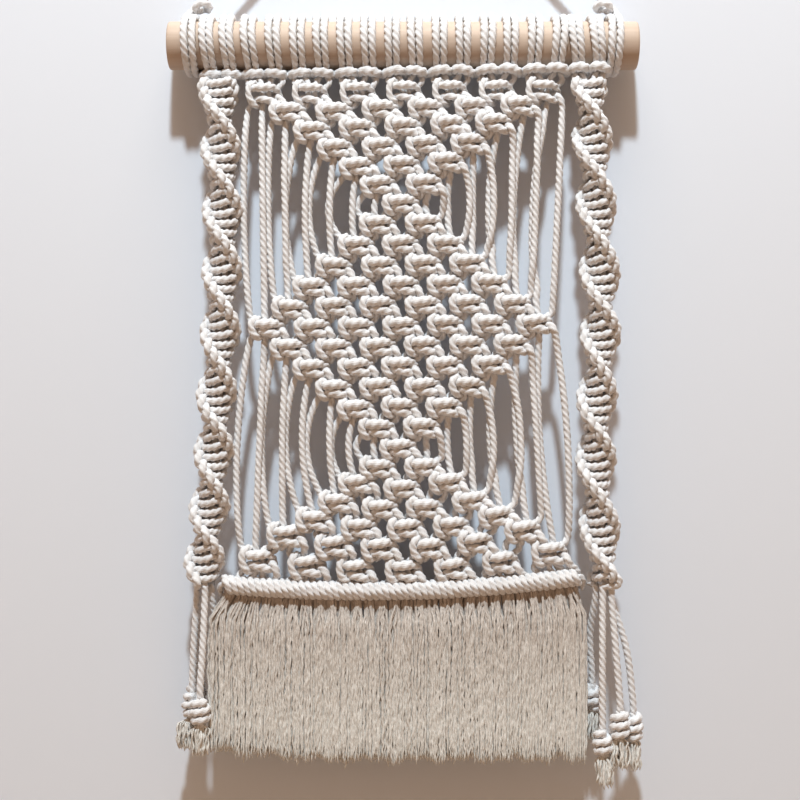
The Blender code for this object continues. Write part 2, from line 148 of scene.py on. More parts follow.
def smooth_path(points, step):
    """Catmull-Rom: each stretch is the cubic whose end slopes are half the chords across them.

    Columns after x, y and z are numbers that go along with the points.
    """
    points = np.asarray(points, float)
    ends = np.vstack([2 * points[0] - points[1], points, 2 * points[-1] - points[-2]])
    before, start, end, after = (ends[shift:len(ends) - 3 + shift, None] for shift in range(4))
    t = np.arange(FINE_STEPS)[:, None] / FINE_STEPS
    fine = 0.5 * (2 * start + (end - before) * t
                  + (2 * before - 5 * start + 4 * end - after) * t ** 2
                  + (3 * start - before - 3 * end + after) * t ** 3)
    fine = np.vstack([fine.reshape(-1, points.shape[1]), points[-1:]])
    return at_even_steps(fine, step)


bend = smooth_path([(0, 0, 0), (1, 0, 0), (1, 1, 0)], 0.01)
print("a curve through three corners of a square is %.2f sides long" % travelled(bend)[-1])

# %% [markdown]
# ## Rope
#
# Three-ply rope is not a plain tube: three fat plies wind around each other,
# and the grooves between them catch shadow. Three tubes would show that too, at
# three times the points. The section below is cheaper: a circle pressed in at
# three places. It turns backwards as it travels, which gives the S twist of
# this rope, with its strokes running down to the right. Where a knot presses
# the rope it spreads, and its grooves close.

# %% Directions carried along a path
def carried_frames(path):
    """Two directions square to the path, carried along it without spin.

    A guess is squared from a fixed direction at every point. The spin that the
    guess picks up between two points is measured, summed up, and turned back.
    """
    tangent = np.gradient(path, axis=0)
    tangent /= lengths(tangent)[:, None]
    guess = np.cross(tangent, np.eye(3)[np.abs(tangent).argmin(1)])
    guess /= lengths(guess)[:, None]
    old, new = tangent[:-1], tangent[1:]
    axis, cosine = np.cross(old, new), (old * new).sum(1)[:, None]
    turned = (guess[:-1] * cosine + np.cross(axis, guess[:-1])
              + axis * ((axis * guess[:-1]).sum(1)[:, None] / (1 + cosine)))
    spin = np.arctan2((np.cross(turned, guess[1:]) * new).sum(1), (turned * guess[1:]).sum(1))
    back = -np.concatenate([[0.0], np.cumsum(spin)])[:, None]
    across = np.cos(back) * guess + np.sin(back) * np.cross(tangent, guess)
    return tangent, across, np.cross(tangent, across)


ahead, across, _ = carried_frames(bend)
print("square to the path within %.0e" % np.abs((ahead * across).sum(1)).max())

# %% Faces of a tube
def tube_faces(rings, sides):
    """Quads between neighbouring rings, and a fan of triangles over each end.

    The two points after the rings are the tips of the two fans.
    """
    ring = np.arange(rings - 1)[:, None] * sides
    side = np.arange(sides)[None, :]
    following = (side + 1) % sides
    walls = np.stack([ring + side, ring + following, ring + sides + following, ring + sides + side], -1)
    first, last = rings * sides, rings * sides + 1
    side, following = side[0], following[0]
    end = (rings - 1) * sides
    start_fan = np.stack([0 * side + first, following, side, side], -1)
    end_fan = np.stack([0 * side + last, end + side, end + following, end + following], -1)
    return np.vstack([walls.reshape(-1, 4), start_fan, end_fan])


def tube_uv(run, sides):
    """Along and around for every corner of tube_faces; around goes from 0 to 1 once."""
    rings = len(run)
    near = np.repeat(run[:-1, None], sides, 1)
    far = np.repeat(run[1:, None], sides, 1)
    left = np.repeat(np.arange(sides)[None, :] / sides, rings - 1, 0)
    right = left + 1 / sides
    walls = np.stack([np.stack([near, left], -1), np.stack([near, right], -1),
                      np.stack([far, right], -1), np.stack([far, left], -1)], 2)
    fan_sides = np.stack([left[0], right[0], right[0], right[0]], 1)
    start = np.stack([np.full_like(fan_sides, run[0]), fan_sides], -1)
    end = np.stack([np.full_like(fan_sides, run[-1]), fan_sides], -1)
    return np.vstack([walls.reshape(-1, 4, 2), start, end])


print("a tube of 10 rings and 12 sides has", len(tube_faces(10, 12)), "faces")

# %% Three plies along a path
PLIES = 3
SIDES = 12                          # points around a rope
RING_STEP = 1.5 * MM                # distance between two rings of points
GROOVE = 0.29                       # depth of the grooves between the plies
GROOVE_CLOSES = 0.25                # share of that depth lost for each share of extra width
CAP_RISE = 0.35                     # how far a cut end bulges, of the radius


def rope_arrays(path, start_turn):
    """Rings of a three-lobed circle that turns once a lay, backwards along the path.

    The path's fourth column is the radius.
    """
    path, radius = path[:, :3], path[:, 3]
    tangent, across, other = carried_frames(path)
    run = travelled(path)
    side = 2 * np.pi * np.arange(SIDES) / SIDES
    spread = radius / (0.5 * ROPE) - 1
    groove = GROOVE * (1 - GROOVE_CLOSES * spread)
    lobed = 1 - groove[:, None] * (1 - np.abs(np.cos(0.5 * PLIES * side)))
    angle = side[None, :] + (start_turn - 2 * np.pi * run / LAY)[:, None]
    reach = radius[:, None] * lobed
    rings = (path[:, None] + (reach * np.cos(angle))[..., None] * across[:, None]
             + (reach * np.sin(angle))[..., None] * other[:, None])
    tips = np.stack([path[0] - CAP_RISE * radius[0] * tangent[0],
                     path[-1] + CAP_RISE * radius[-1] * tangent[-1]])
    points = np.vstack([rings.reshape(-1, 3), tips])
    return points, tube_faces(len(path), SIDES), tube_uv(run, SIDES)


def thick(points, radius=0.5 * ROPE):
    """Points with a fourth column, the rope's radius there."""
    return np.column_stack([points, np.broadcast_to(radius, len(points))])


print("a metre of rope has about", round(SIDES / RING_STEP), "faces")

# %% Many ropes, one mesh
UV_SHIFT = 9.0                      # so that no two ropes show the same stretch of a pattern


class Bundle:
    """Many surfaces gathered into the arrays of one mesh."""

    def __init__(self):
        self.points, self.faces, self.uv, self.count = [], [], [], 0

    def add(self, points, faces, uv):
        self.points.append(points)
        self.faces.append(faces + self.count)
        self.uv.append(uv)
        self.count += len(points)

    def rope(self, path):
        points, faces, uv = rope_arrays(path, dice.uniform(0, 2 * np.pi))
        self.add(points, faces, uv + np.array([dice.uniform(0, UV_SHIFT), 0.0]))

    def piece(self, name, replaced, material):
        """Make the mesh, give it its finish, and hide the solids that it stands for."""
        thing = new_object(name, np.vstack(self.points), np.vstack(self.faces), np.vstack(self.uv))
        thing.data.materials.append(material)
        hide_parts(*replaced)
        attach(thing, "root")
        thing.data.calc_loop_triangles()
        print(name, len(thing.data.loop_triangles), "triangles")
        return thing


# %% [markdown]
# ## Tied rope finds its own room
#
# Nobody can write down a knot point by point so that its ropes press on each
# other and never run through each other. Blender's cloth could find the room
# for one knot, but a hundred of them would take hours. So each knot is written
# down roughly, and a small relaxation settles it, many short steps long. In
# each step a point moves towards the middle of its two neighbours, which
# tightens and rounds the rope; points of two ropes that are too close push each
# other apart; and every point is drawn a little towards where it was written.

# %% Which points are near each other
def near_pairs(points, reach):
    """Index pairs of points closer than reach.

    Points are sorted into cubes of that size, and each cube is matched with
    itself and with half of the cubes around it, so that no pair comes twice.
    """
    cell = np.floor(points / reach).astype(np.int64)
    cell -= cell.min(0) - 1
    size = cell.max(0) + 2
    strides = np.array([size[1] * size[2], size[2], 1])
    key = cell @ strides
    order = np.argsort(key, kind="stable")
    sorted_key = key[order]
    around = np.array([(x, y, z) for x in (-1, 0, 1) for y in (-1, 0, 1) for z in (-1, 0, 1)])
    half = [offset for offset in around @ strides if offset >= 0]
    found = []
    for offset in half:
        start = np.searchsorted(sorted_key, key + offset, "left")
        count = np.searchsorted(sorted_key, key + offset, "right") - start
        first = np.repeat(np.arange(len(points)), count)
        step = np.arange(count.sum()) - np.repeat(np.cumsum(count) - count, count)
        second = order[np.repeat(start, count) + step]
        if offset == 0:
            first, second = first[first < second], second[first < second]
        found.append(np.stack([first, second]))
    first, second = np.hstack(found)
    near = lengths(points[first] - points[second]) < reach
    return first[near], second[near]


square = np.array([(0.0, 0.0, 0.0), (1.0, 0.0, 0.0), (0.0, 1.0, 0.0), (1.0, 1.0, 0.0)])
print(len(near_pairs(square, 1.1)[0]), "pairs of a square's corners are nearer than 1.1 sides")

# %% Routes with their hold and radius
def marked(points, hold, radius=0.5 * ROPE):
    """Rows of a route: x, y, z, how strongly it is drawn back to its place, and its radius.

    A hold of 1 doesn't move, and 0 is free.
    """
    count = len(points)
    return np.column_stack([points, np.broadcast_to(hold, count), np.broadcast_to(radius, count)])


straight = np.array([(x, 0.0, 0.0) for x in range(-20, 21, 5)]) * MM
side_by_side = [marked(straight, 0.0), marked(straight + (0, 1 * MM, 0), 0.0)]
print("two ropes drawn 1 mm apart, each", side_by_side[0].shape)

# %% The relaxation
CHAIN_STEP = 1.8 * MM               # distance between the points that are settled
EVENNESS = 0.22                     # share of its way to its neighbours' middle in one step
PRESS = 0.78                        # pressed ropes lie this share of their radii apart
PUSH = 0.35                         # share of an overlap that one step clears
REFRESH = 8                         # steps between two searches for near points
SEARCH_MARGIN = 1.5 * MM            # what a point may come nearer between two searches
OWN_WINDOW = 1.7                    # a rope doesn't push itself within so many widths
LEAST_DISTANCE = 0.1 * MM           # stands in for zero, because the push divides by it


def settle(routes, rounds):
    """Settle marked routes against each other. Gives paths with a radius at every point."""
    chains = [smooth_path(route, CHAIN_STEP) for route in routes]
    sizes = np.array([len(chain) for chain in chains])
    rows = np.vstack(chains)
    points, hold, radius = rows[:, :3], np.clip(rows[:, 3:4], 0, 1), rows[:, 4]
    home = points.copy()
    chain = np.repeat(np.arange(len(chains)), sizes)
    index = np.arange(len(points))
    starts = np.cumsum(sizes) - sizes
    hold[starts], hold[starts + sizes - 1] = 1.0, 1.0
    before, after = np.maximum(index - 1, 0), np.minimum(index + 1, len(points) - 1)
    widest = 2 * PRESS * radius.max()
    window = int(np.ceil(OWN_WINDOW * widest / CHAIN_STEP))
    for step in range(rounds):
        if step % REFRESH == 0:
            first, second = near_pairs(points, widest + SEARCH_MARGIN)
            apart = (chain[first] != chain[second]) | (np.abs(first - second) > window)
            first, second = first[apart], second[apart]
            contact = PRESS * (radius[first] + radius[second])
        move = EVENNESS * (0.5 * (points[before] + points[after]) - points)
        gap = points[second] - points[first]
        distance = np.maximum(lengths(gap), LEAST_DISTANCE)
        push = (PUSH * np.maximum(0.0, contact - distance) / distance)[:, None] * gap
        for axis in range(3):
            move[:, axis] += np.bincount(second, push[:, axis], len(points))
            move[:, axis] -= np.bincount(first, push[:, axis], len(points))
        points = points + move
        points += hold * (home - points)
    return np.split(np.column_stack([points, radius]), np.cumsum(sizes)[:-1])


first, second = settle(side_by_side, 60)
widest_gap = lengths(first[:, :3] - second[:, :3]).max()
print("they settle %.1f mm apart" % (widest_gap / MM))

# %% [markdown]
# ## Finishes
#
# Undyed cotton is an off-white. It is matt, it has a soft sheen from its fuzz,
# and its single yarns show as fine lines. On this rope each ply is twisted
# against the rope, so the lines run nearly along the rope. The plies are real
# shape, and the yarns are only bump: they are a fifth of a millimetre high, and
# as shape they would cost a hundred times the points.

# %% Shader maths as Python expressions
class Wire:
    """A node socket that can be added to, multiplied and so on, which adds Math nodes.

    The reflected forms let a number stand on the left, as in 1 - wire.
    """

    def __init__(self, graph, socket):
        self.graph, self.socket = graph, socket

    def maths(self, operation, *others):
        return self.graph.node("ShaderNodeMath", {"operation": operation}, [self, *others])

    def __add__(self, other):
        return self.maths("ADD", other)

    def __sub__(self, other):
        return self.maths("SUBTRACT", other)

    def __mul__(self, other):
        return self.maths("MULTIPLY", other)

    def __rsub__(self, other):
        return self.graph.node("ShaderNodeMath", {"operation": "SUBTRACT"}, [other, self])

    __radd__, __rmul__ = __add__, __mul__

    def sine(self):
        return self.maths("SINE")

    def power(self, other):
        return self.maths("POWER", other)


# %% A finish and its nodes
SHEEN_SPREAD = 0.5
DRY_GLOSS = 0.25                    # half of what plastic or varnish has


class Finish:
    """One material: its nodes are made by one method, from a type, settings and sockets."""

    def __init__(self, name, roughness, sheen=0.0):
        self.material = bpy.data.materials.new(name)
        self.material.use_nodes = True
        self.tree = self.material.node_tree
        self.shader = self.tree.nodes["Principled BSDF"]
        self.set_socket("Roughness", roughness)
        self.set_socket("Sheen Weight", sheen)
        self.set_socket("Sheen Roughness", SHEEN_SPREAD)
        self.set_socket("Specular IOR Level", DRY_GLOSS)

    def set_socket(self, name, value):
        self.shader.inputs[name].default_value = value

    def node(self, kind, settings, sockets, output=0):
        """Settings come first, because they decide which sockets a node has."""
        made = self.tree.nodes.new(kind)
        for name, value in settings.items():
            setattr(made, name, value)
        pairs = sockets.items() if isinstance(sockets, dict) else enumerate(sockets)
        for name, value in pairs:
            if isinstance(value, Wire):
                self.tree.links.new(value.socket, made.inputs[name])
            else:
                made.inputs[name].default_value = value
        return Wire(self, made.outputs[output])

    def object_place(self):
        return self.node("ShaderNodeTexCoord", {}, {}, "Object")

    def parts(self, vector):
        """The three numbers of a vector, each as a wire."""
        split = self.node("ShaderNodeSeparateXYZ", {}, [vector]).socket.node
        return [Wire(self, output) for output in split.outputs]

    def noise(self, place, scale, detail=2.0, roughness=0.5):
        sockets = {"Vector": place, "Scale": scale, "Detail": detail, "Roughness": roughness}
        return self.node("ShaderNodeTexNoise", {}, sockets, "Fac")

    def stretched(self, place, scale):
        return self.node("ShaderNodeMapping", {}, {"Vector": place, "Scale": scale})

    def between(self, share, first, second):
        """A colour on the way from the first to the second."""
        settings = {"data_type": "RGBA", "clamp_factor": True}
        return self.node("ShaderNodeMix", settings, {0: share, 6: first, 7: second}, 2)

    def feed(self, name, wire):
        self.tree.links.new(wire.socket, self.shader.inputs[name])

    def bump(self, height, strength, distance):
        sockets = {"Height": height, "Strength": strength, "Distance": distance}
        self.feed("Normal", self.node("ShaderNodeBump", {}, sockets))


# %% Cotton rope
YARNS = 15                          # yarns that show around the rope
YARN_SHARE = 0.12                   # their share of the relief; the rest is nap
NAP_SCALE, CLOUD_SCALE = 850.0, 60.0    # repeats of the nap and of the blotches in a metre
ROPE_DIM, ROPE_PALE = (0.715, 0.702, 0.695, 1), (0.855, 0.86, 0.88, 1)


def cotton_rope():
    """Off-white cotton: single yarns as fine lines nearly along the rope, and soft blotches."""
    cotton = Finish("cotton rope", roughness=0.85, sheen=0.25)
    place = cotton.object_place()
    uv = cotton.node("ShaderNodeUVMap", {"uv_map": "along_and_around"}, {})
    along, around, _ = cotton.parts(uv)
    fixed = around - along * (1 / LAY)
    yarns = (fixed * (2 * np.pi * YARNS)).sine()
    nap = cotton.noise(place, NAP_SCALE, 4.0, 0.65)
    cotton.bump(yarns * YARN_SHARE + nap, 0.7, 0.5 * MM)
    cloud = cotton.noise(place, CLOUD_SCALE, 2.0)
    cotton.feed("Base Color", cotton.between(cloud, ROPE_DIM, ROPE_PALE))
    return cotton.material


rope_finish = cotton_rope()
print(rope_finish.name, "has", len(rope_finish.node_tree.nodes), "nodes")

# %% [markdown]
# ## The net
#
# Twenty-eight ropes hang side by side. A square knot takes four of them: the
# outer two are tied around the inner two, first one way and then back. Each
# row of knots is shifted by half a knot, so that it takes two ropes from each
# of two neighbours. Rows of 7, 6, 5 ... 1 ... 7 ... 1 ... 7 knots make the
# triangles and the diamond, and the ropes that drop out at the sides hang free
# until the pattern takes them back.

# %% The pattern: how many knots in each row, of which strands
KNOTS_WIDE = 7
DIAMOND_ROWS = 12
LAST_ROW = 24
STRANDS = 4 * KNOTS_WIDE


def knots_in(row):
    """Seven knots, one fewer in each row down to a single one, and out again."""
    return 1 + abs(KNOTS_WIDE - 1 - row % DIAMOND_ROWS)


def first_strand(row):
    """Two strands drop out at the left for each knot that a row has fewer than seven."""
    return 2 * (KNOTS_WIDE - knots_in(row))


print("knots in each row:", *(knots_in(row) for row in range(LAST_ROW + 1)))

# %% Where each knot sits
DOWEL_Z = -172 * MM
PANEL_Y = -13.5 * MM                # the middle of the net's thickness
# each of these is a tuple of rows, and then the values there
ROW_HEIGHTS = ((0, 1, 2, 4, 6, 12, 22, 24),            # in mm above the dowel's axis
               (-33.9, -45.6, -58.2, -82.8, -109.2, -190.4, -324.9, -351.2))
ROW_TILT = ((0, 1, 2, 4, 6), (0.014, 0.03, 0.045, 0.04, 0.02))      # rise to the right
ROW_SWAY = ((0, 6, 12, 18, 22, 24), (1.4, -1.0, -0.4, -2.2, 2.3, 1.2))     # mm to the right
KNOT_PITCH = ((0, 3, 21, 24), (31.2, 29.7, 29.6, 32.4))             # mm from knot to knot
LIFTED_ROW = 19                     # below this row the hem pulls the ends of the rows up
LIFT = 10.5 * MM                    # so much at 100 mm from the middle, as a parabola
END_KNOT_LIFT = 3 * MM
LAST_ROW_DROP = 2.1 * MM            # its knots sit right on the hem


def knot_place(row, column):
    """Middle of a knot: rows sway a little, and the last ones are held up at their ends."""
    pitch = np.interp(row, *KNOT_PITCH) * MM
    x = np.interp(row, *ROW_SWAY) * MM + (column - 0.5 * (knots_in(row) - 1)) * pitch
    z = np.interp(row, *ROW_HEIGHTS) * MM + x * np.interp(row, *ROW_TILT)
    z += np.clip((row - LIFTED_ROW) / 3, 0.0, 1.0) * LIFT * (x / (100 * MM)) ** 2
    if LIFTED_ROW < row < LAST_ROW and column in (0, knots_in(row) - 1):
        z += END_KNOT_LIFT
    if row == LAST_ROW:
        z -= LAST_ROW_DROP
    return x, z


for row in (0, DIAMOND_ROWS, LAST_ROW):
    x, z = knot_place(row, 0)
    print("row", row, "begins at x %.0f mm and z %.0f mm" % (x / MM, z / MM))

# %% [markdown]
# A square knot, written down for its two working ropes, in millimetres from
# its middle: to the right, up, and towards the viewer. The left rope crosses
# in front of the two core ropes, turns on the right and comes back in front.
# The right rope crosses behind them, comes up over the left rope, which makes
# the upright loop on the left, and goes back behind. One written knot serves
# for all of them, each with its own small tilt and shift, as hands do it.

# %% One square knot
LEFT_ROPE = (
    # right, up, forward, radius
    (-12.2, 6.4, -1.8, 2.5), (-10.8, 4.9, -0.6, 2.5), (-8.8, 3.2, 3.0, 2.7), (-6.4, 2.5, 5.9, 3.3),
    (-3.2, 2.6, 6.7, 3.7), (0.6, 2.8, 6.5, 3.7), (4.2, 3.2, 5.0, 3.4), (7.0, 2.9, 1.8, 2.8),
    (9.0, 1.4, -1.4, 2.5), (9.8, -1.2, -1.6, 2.5), (9.4, -3.9, 0.6, 2.6), (7.0, -4.6, 3.2, 2.9),
    (3.4, -3.8, 4.8, 3.2), (-0.4, -2.9, 5.2, 3.2), (-4.0, -2.6, 4.2, 3.0), (-7.2, -3.2, 1.4, 2.6),
    (-9.8, -4.8, -0.6, 2.5), (-12.0, -6.6, -1.2, 2.5),
)
RIGHT_ROPE = (
    (12.4, 6.6, -1.6, 2.5), (10.8, 4.8, -0.6, 2.5), (8.8, 2.8, 0.2, 2.5), (6.6, 1.4, -0.8, 2.5),
    (3.2, 1.4, -3.6, 2.5), (-0.4, 2.6, -4.8, 2.5), (-3.6, 4.6, -3.4, 2.5), (-6.0, 6.0, 0.0, 2.6),
    (-8.2, 5.5, 3.4, 2.7), (-10.2, 3.6, 5.2, 2.7), (-11.0, 1.0, 5.4, 2.7), (-10.8, -1.6, 5.0, 2.8),
    (-9.4, -3.9, 4.5, 2.9), (-6.8, -5.4, 3.2, 2.8), (-4.2, -5.2, 0.0, 2.6), (-1.2, -3.8, -3.6, 2.5),
    (3.0, -2.4, -4.2, 2.5), (6.2, -1.8, -2.0, 2.5), (8.4, -1.8, 0.9, 2.6), (9.9, -3.0, 3.3, 2.8),
    (11.5, -4.9, 4.3, 2.8), (12.4, -7.0, 2.8, 2.7),
)
LEFT_CORE = ((-2.4, 5.4, 0.6, 2.5), (-2.2, 3.0, 0.0, 2.5), (-2.1, 0.0, 0.0, 2.5),
             (-2.2, -3.0, 0.0, 2.5), (-2.4, -5.6, 0.0, 2.5))
RIGHT_CORE = ((2.4, 5.0, -0.4, 2.5), (2.2, 2.8, 0.0, 2.5), (2.1, 0.0, 0.0, 2.5),
              (2.2, -3.0, 0.0, 2.5), (2.4, -5.6, 0.0, 2.5))
ROLES = tuple(np.array(role) * MM for role in (LEFT_ROPE, LEFT_CORE, RIGHT_CORE, RIGHT_ROPE))
for role, title in zip(ROLES, ("left rope", "left core", "right core", "right rope")):
    print(title, "goes %.0f mm through a knot" % (travelled(role)[-1] / MM))

# %% All the square knots
KNOT_HOLD = 0.11                    # how strongly a knot keeps its written shape
KNOT_TILT = (0.03, 0.045)           # mean and spread, in radians
KNOT_SHIFT = 0.35 * MM
# the first and the last rows are tied less tightly, so their knots are taller and lie
# further back; rows, and then the values there
KNOT_HEIGHT = ((0, 1, 21, LAST_ROW), (1.35, 1.0, 1.0, 1.35))
KNOT_SETBACK = ((0, 2, 23, LAST_ROW), (3.6, 0.0, 0.0, 1.5))         # mm
KNOT_WIDTH = ((0, 1), (0.84, 1.0))                                  # of the rope in it


def knot_route(row, column, role):
    """One rope's way through one knot, with the small differences of work done by hand."""
    x, z = knot_place(row, column)
    tilt, shift_x, shift_z = knot_mood[row, column]
    right, up, forward, radius = ROLES[role].T
    up = up * np.interp(row, *KNOT_HEIGHT)
    forward = forward - np.interp(row, *KNOT_SETBACK) * MM
    radius = radius * np.interp(row, *KNOT_WIDTH)
    points = np.column_stack([x + shift_x + right * np.cos(tilt) - up * np.sin(tilt),
                              PANEL_Y - forward,
                              z + shift_z + up * np.cos(tilt) + right * np.sin(tilt) + DOWEL_Z])
    return marked(points, KNOT_HOLD, radius)


knot_mood = {
    (row, column): (dice.normal(*KNOT_TILT), dice.normal(0, KNOT_SHIFT), dice.normal(0, KNOT_SHIFT))
    for row in range(LAST_ROW + 1) for column in range(knots_in(row))
}
print("square knots:", len(knot_mood))

# %% [markdown]
# ## Free ropes
#
# Where the pattern narrows, ropes hang free until it widens again. They are
# longer than they need be, so each swings out a little on its way down.

# %% Free ropes between two fields
FREE_BOWS = {
    # outward bow in millimetres, from the outermost rope of the fan to the innermost
    ("upper", "left"): (3.5, 0.0, 3.0, 1.0, 6.7, 2.7, 6.6, 2.0, 9.0, 1.7, 4.4, 1.4),
    ("upper", "right"): (0.0, -6.5, 0.0, -4.7, 0.5, -5.0, 4.3, 0.0, 3.3, -2.4, 0.0, -3.0),
    ("lower", "left"): (5.7, 0.0, 6.0, 1.3, 7.3, 5.5, 8.3, 2.0, 6.0, 3.5, 4.0, 1.0),
    ("lower", "right"): (3.7, -4.5, 0.0, -3.3, 5.5, -5.0, 4.0, -2.0, 1.3, -2.0, 0.0, 0.0),
}
FREE_HOLD = 0.02
FREE_STEP = 16 * MM                 # at most one written point in so much height
FREE_DEPTH = 1.5 * MM               # neighbours hang in front and behind in turn
BOW_FULLNESS = 0.8                  # under 1 makes a bow rounder than half a sine wave


def free_run(start, end, strand, row):
    """Points on the way from one field to the next: a straight line with a bow, a bit forward."""
    left = strand < STRANDS // 2
    fan = FREE_BOWS["upper" if row < DIAMOND_ROWS else "lower", "left" if left else "right"]
    bow = fan[strand if left else STRANDS - 1 - strand] * MM * (-1 if left else 1)
    count = max(1, int((start[2] - end[2]) / FREE_STEP))
    t = (np.arange(count) + 1) / (count + 1)
    run = start + (end - start) * t[:, None]
    run[:, 0] += bow * np.sin(np.pi * t) ** BOW_FULLNESS
    run[:, 1] = PANEL_Y - FREE_DEPTH * np.sin(np.pi * t) * (1 if strand % 2 else -1)
    return marked(run, FREE_HOLD)


print("widest bow:", max(max(bows) for bows in FREE_BOWS.values()), "mm")

# %% [markdown]
# ## Lark's heads
#
# Each rope is folded in half and hung on the dowel by its middle. The fold lies
# as a short bar low on the front. From each end of the bar the rope goes back
# under the dowel, once round it, down its front and behind the bar. Angles
# round the dowel describe that way better than x, y and z would, so half a head
# is written down in them, once, and mirrored and moved along the dowel.

# %% From the bar round the dowel
DOWEL_RADIUS = 16 * MM
HEAD_PITCH = 15.7 * MM
NET_HEADS_X = 1.2 * MM              # middle of the heads over the net
HEAD_SLIP = 70.0                    # degrees for each metre to the right
HEAD_LEG = (
    # outwards in mm, angle up from the front in degrees, distance from the dowel's axis and
    # rope radius in mm, share of the lean that the two strands round the dowel have
    (0.0, -58, 22.9, 3.6, 0.0), (2.8, -58.5, 22.9, 3.6, 0.0), (5.2, -63, 22.3, 3.3, 0.0),
    (6.6, -73, 21.2, 2.8, 0.1), (6.3, -88, 19.2, 2.5, 0.5), (5.0, -115, 18.5, 2.5, 0.9),
    (3.6, -150, 18.4, 2.6, 1.0), (3.0, -185, 18.4, 2.7, 1.0), (2.8, -220, 18.4, 2.7, 1.0),
    (2.8, -255, 18.4, 2.75, 1.0), (2.8, -290, 18.4, 2.75, 1.0), (2.8, -320, 18.4, 2.75, 1.0),
    (2.75, -345, 18.4, 2.75, 0.9), (2.65, -370, 18.4, 2.65, 0.6), (2.5, -393, 18.4, 2.5, 0.3),
    (2.4, -412, 18.5, 2.4, 0.1), (2.3, -425, 19.4, 2.4, 0.0), (2.3, -433, 22.2, 2.4, 0.0),
)


def head_leg(x, side, lean, tilt, width=1.0):
    """Half of a lark's head: turned from (outwards, angle, distance) into x, y and z.

    The tilt, in degrees, lifts one end of the bar and lowers the other. The bars
    at the left have slipped a little lower than those at the right.
    """
    outwards, angle, distance, radius, share = np.array(HEAD_LEG).T
    slip = HEAD_SLIP * x
    angle = np.radians(angle + (tilt * side * outwards / outwards.max() + slip) * (1 - share))
    points = np.column_stack([x + side * width * outwards * MM + share * lean,
                              -distance * MM * np.cos(angle),
                              distance * MM * np.sin(angle) + DOWEL_Z])
    return marked(points, 1.0, radius * MM)


print("half a lark's head: %.0f mm" % (travelled(head_leg(0.0, 1, 0.0, 0.0))[-1] / MM))

# %% [markdown]
# ## Hem
#
# Along the hem every rope is tied on a holding cord with two half hitches.
# From the front that is a bar of close, slightly slanted turns, two for each
# rope. The ropes end under it and are unravelled into the fringe. The turns
# can't slip, so they need no settling: a helix round the cord is enough.

# %% Where the holding cord runs
BAR_POINTS = ((-118.7, 0.0, 116.7), (-363.2, -367.3, -358.2))   # x and z in mm
BAR_FIT = np.polyfit(np.array(BAR_POINTS[0]) * MM, np.array(BAR_POINTS[1]) * MM, 2)
BAR_LEFT, BAR_RIGHT = BAR_POINTS[0][0] * MM, BAR_POINTS[0][2] * MM
HEM_LIFT = 0.8 * MM                 # the turns are pulled up a little around the holding cord
HEM_Y = PANEL_Y - 0.5 * MM          # the hem stands out a little in front of the knots


def bar_z(x):
    """The holding cord sags along a parabola."""
    return np.polyval(BAR_FIT, x) + DOWEL_Z


def hem_x(strand):
    """The strands share the bar evenly, each in the middle of its part."""
    return BAR_LEFT + (BAR_RIGHT - BAR_LEFT) * (strand + 0.5) / STRANDS


print("hem %.0f mm wide, %.1f mm for each rope"
      % ((BAR_RIGHT - BAR_LEFT) / MM, (hem_x(1) - hem_x(0)) / MM))

# %% Two turns round the holding cord
TURN_PITCH = 4.2 * MM
TURN_RADIUS = 4.3 * MM
TURN_SLANT = 1.3 * MM               # in front a turn runs aslant, and back straight behind
TURN_ANGLES = np.radians(np.arange(120, 931, 22.5))     # from the knots above to the fringe
TIED_RADIUS = 0.53 * ROPE           # rope pressed flat by a tight turn is wider


def hitches(strand):
    """A helix of two turns: it climbs in front of the cord and goes down behind it."""
    x = hem_x(strand) + TURN_PITCH * (0.5 - (TURN_ANGLES - 2 * np.pi) / (2 * np.pi))
    x -= TURN_SLANT * np.sin(TURN_ANGLES)
    points = np.column_stack([x, HEM_Y - TURN_RADIUS * np.cos(TURN_ANGLES),
                              bar_z(x) + HEM_LIFT + TURN_RADIUS * np.sin(TURN_ANGLES)])
    return marked(points, 1.0, TIED_RADIUS)


print("two half hitches take %.0f mm of rope" % (travelled(hitches(0))[-1] / MM))

# %% [markdown]
# ## From the fold to the hem
#
# A real rope isn't cut between its knots, so it isn't here either. One route
# goes up one half of a folded rope and down the other, and all fourteen are
# settled together, because each is tied to its neighbours.

# %% How the heads lean
NET_HEADS = STRANDS // 2
LEAN_LEFT, LEAN_RIGHT, LEAN_SPREAD = -2.2, 1.0, 0.5     # sideways, in mm, on the dowel
TILT_EVEN, TILT_ODD, TILT_SPREAD = 4.0, -3.0, 1.2       # of the bars, in degrees

head_lean = (np.linspace(LEAN_LEFT, LEAN_RIGHT, NET_HEADS)
             + dice.normal(0, LEAN_SPREAD, NET_HEADS)) * MM
# a knot pulls two heads together, so their bars rise towards each other
head_tilt = (np.where(np.arange(NET_HEADS) % 2 == 0, TILT_EVEN, TILT_ODD)
             + dice.normal(0, TILT_SPREAD, NET_HEADS))
print("tilt of the bars in degrees:", *np.round(head_tilt).astype(int))

# %% One strand of the net
def net_strand(strand):
    """The head, every knot it takes part in, the free runs between them, and the hem."""
    head = strand // 2
    x = NET_HEADS_X + (head - 0.5 * (NET_HEADS - 1)) * HEAD_PITCH
    side = 1 if strand % 2 else -1
    route = [head_leg(x, side, head_lean[head], head_tilt[head])]
    last_row = -1
    for row in range(LAST_ROW + 1):
        place = strand - first_strand(row)
        if not 0 <= place < 4 * knots_in(row):
            continue
        knot = knot_route(row, place // 4, place % 4)
        if row > last_row + 1:
            route.append(free_run(route[-1][-1, :3], knot[0, :3], strand, last_row))
        route.append(knot)
        last_row = row
    route.append(hitches(strand))
    return np.vstack(route)


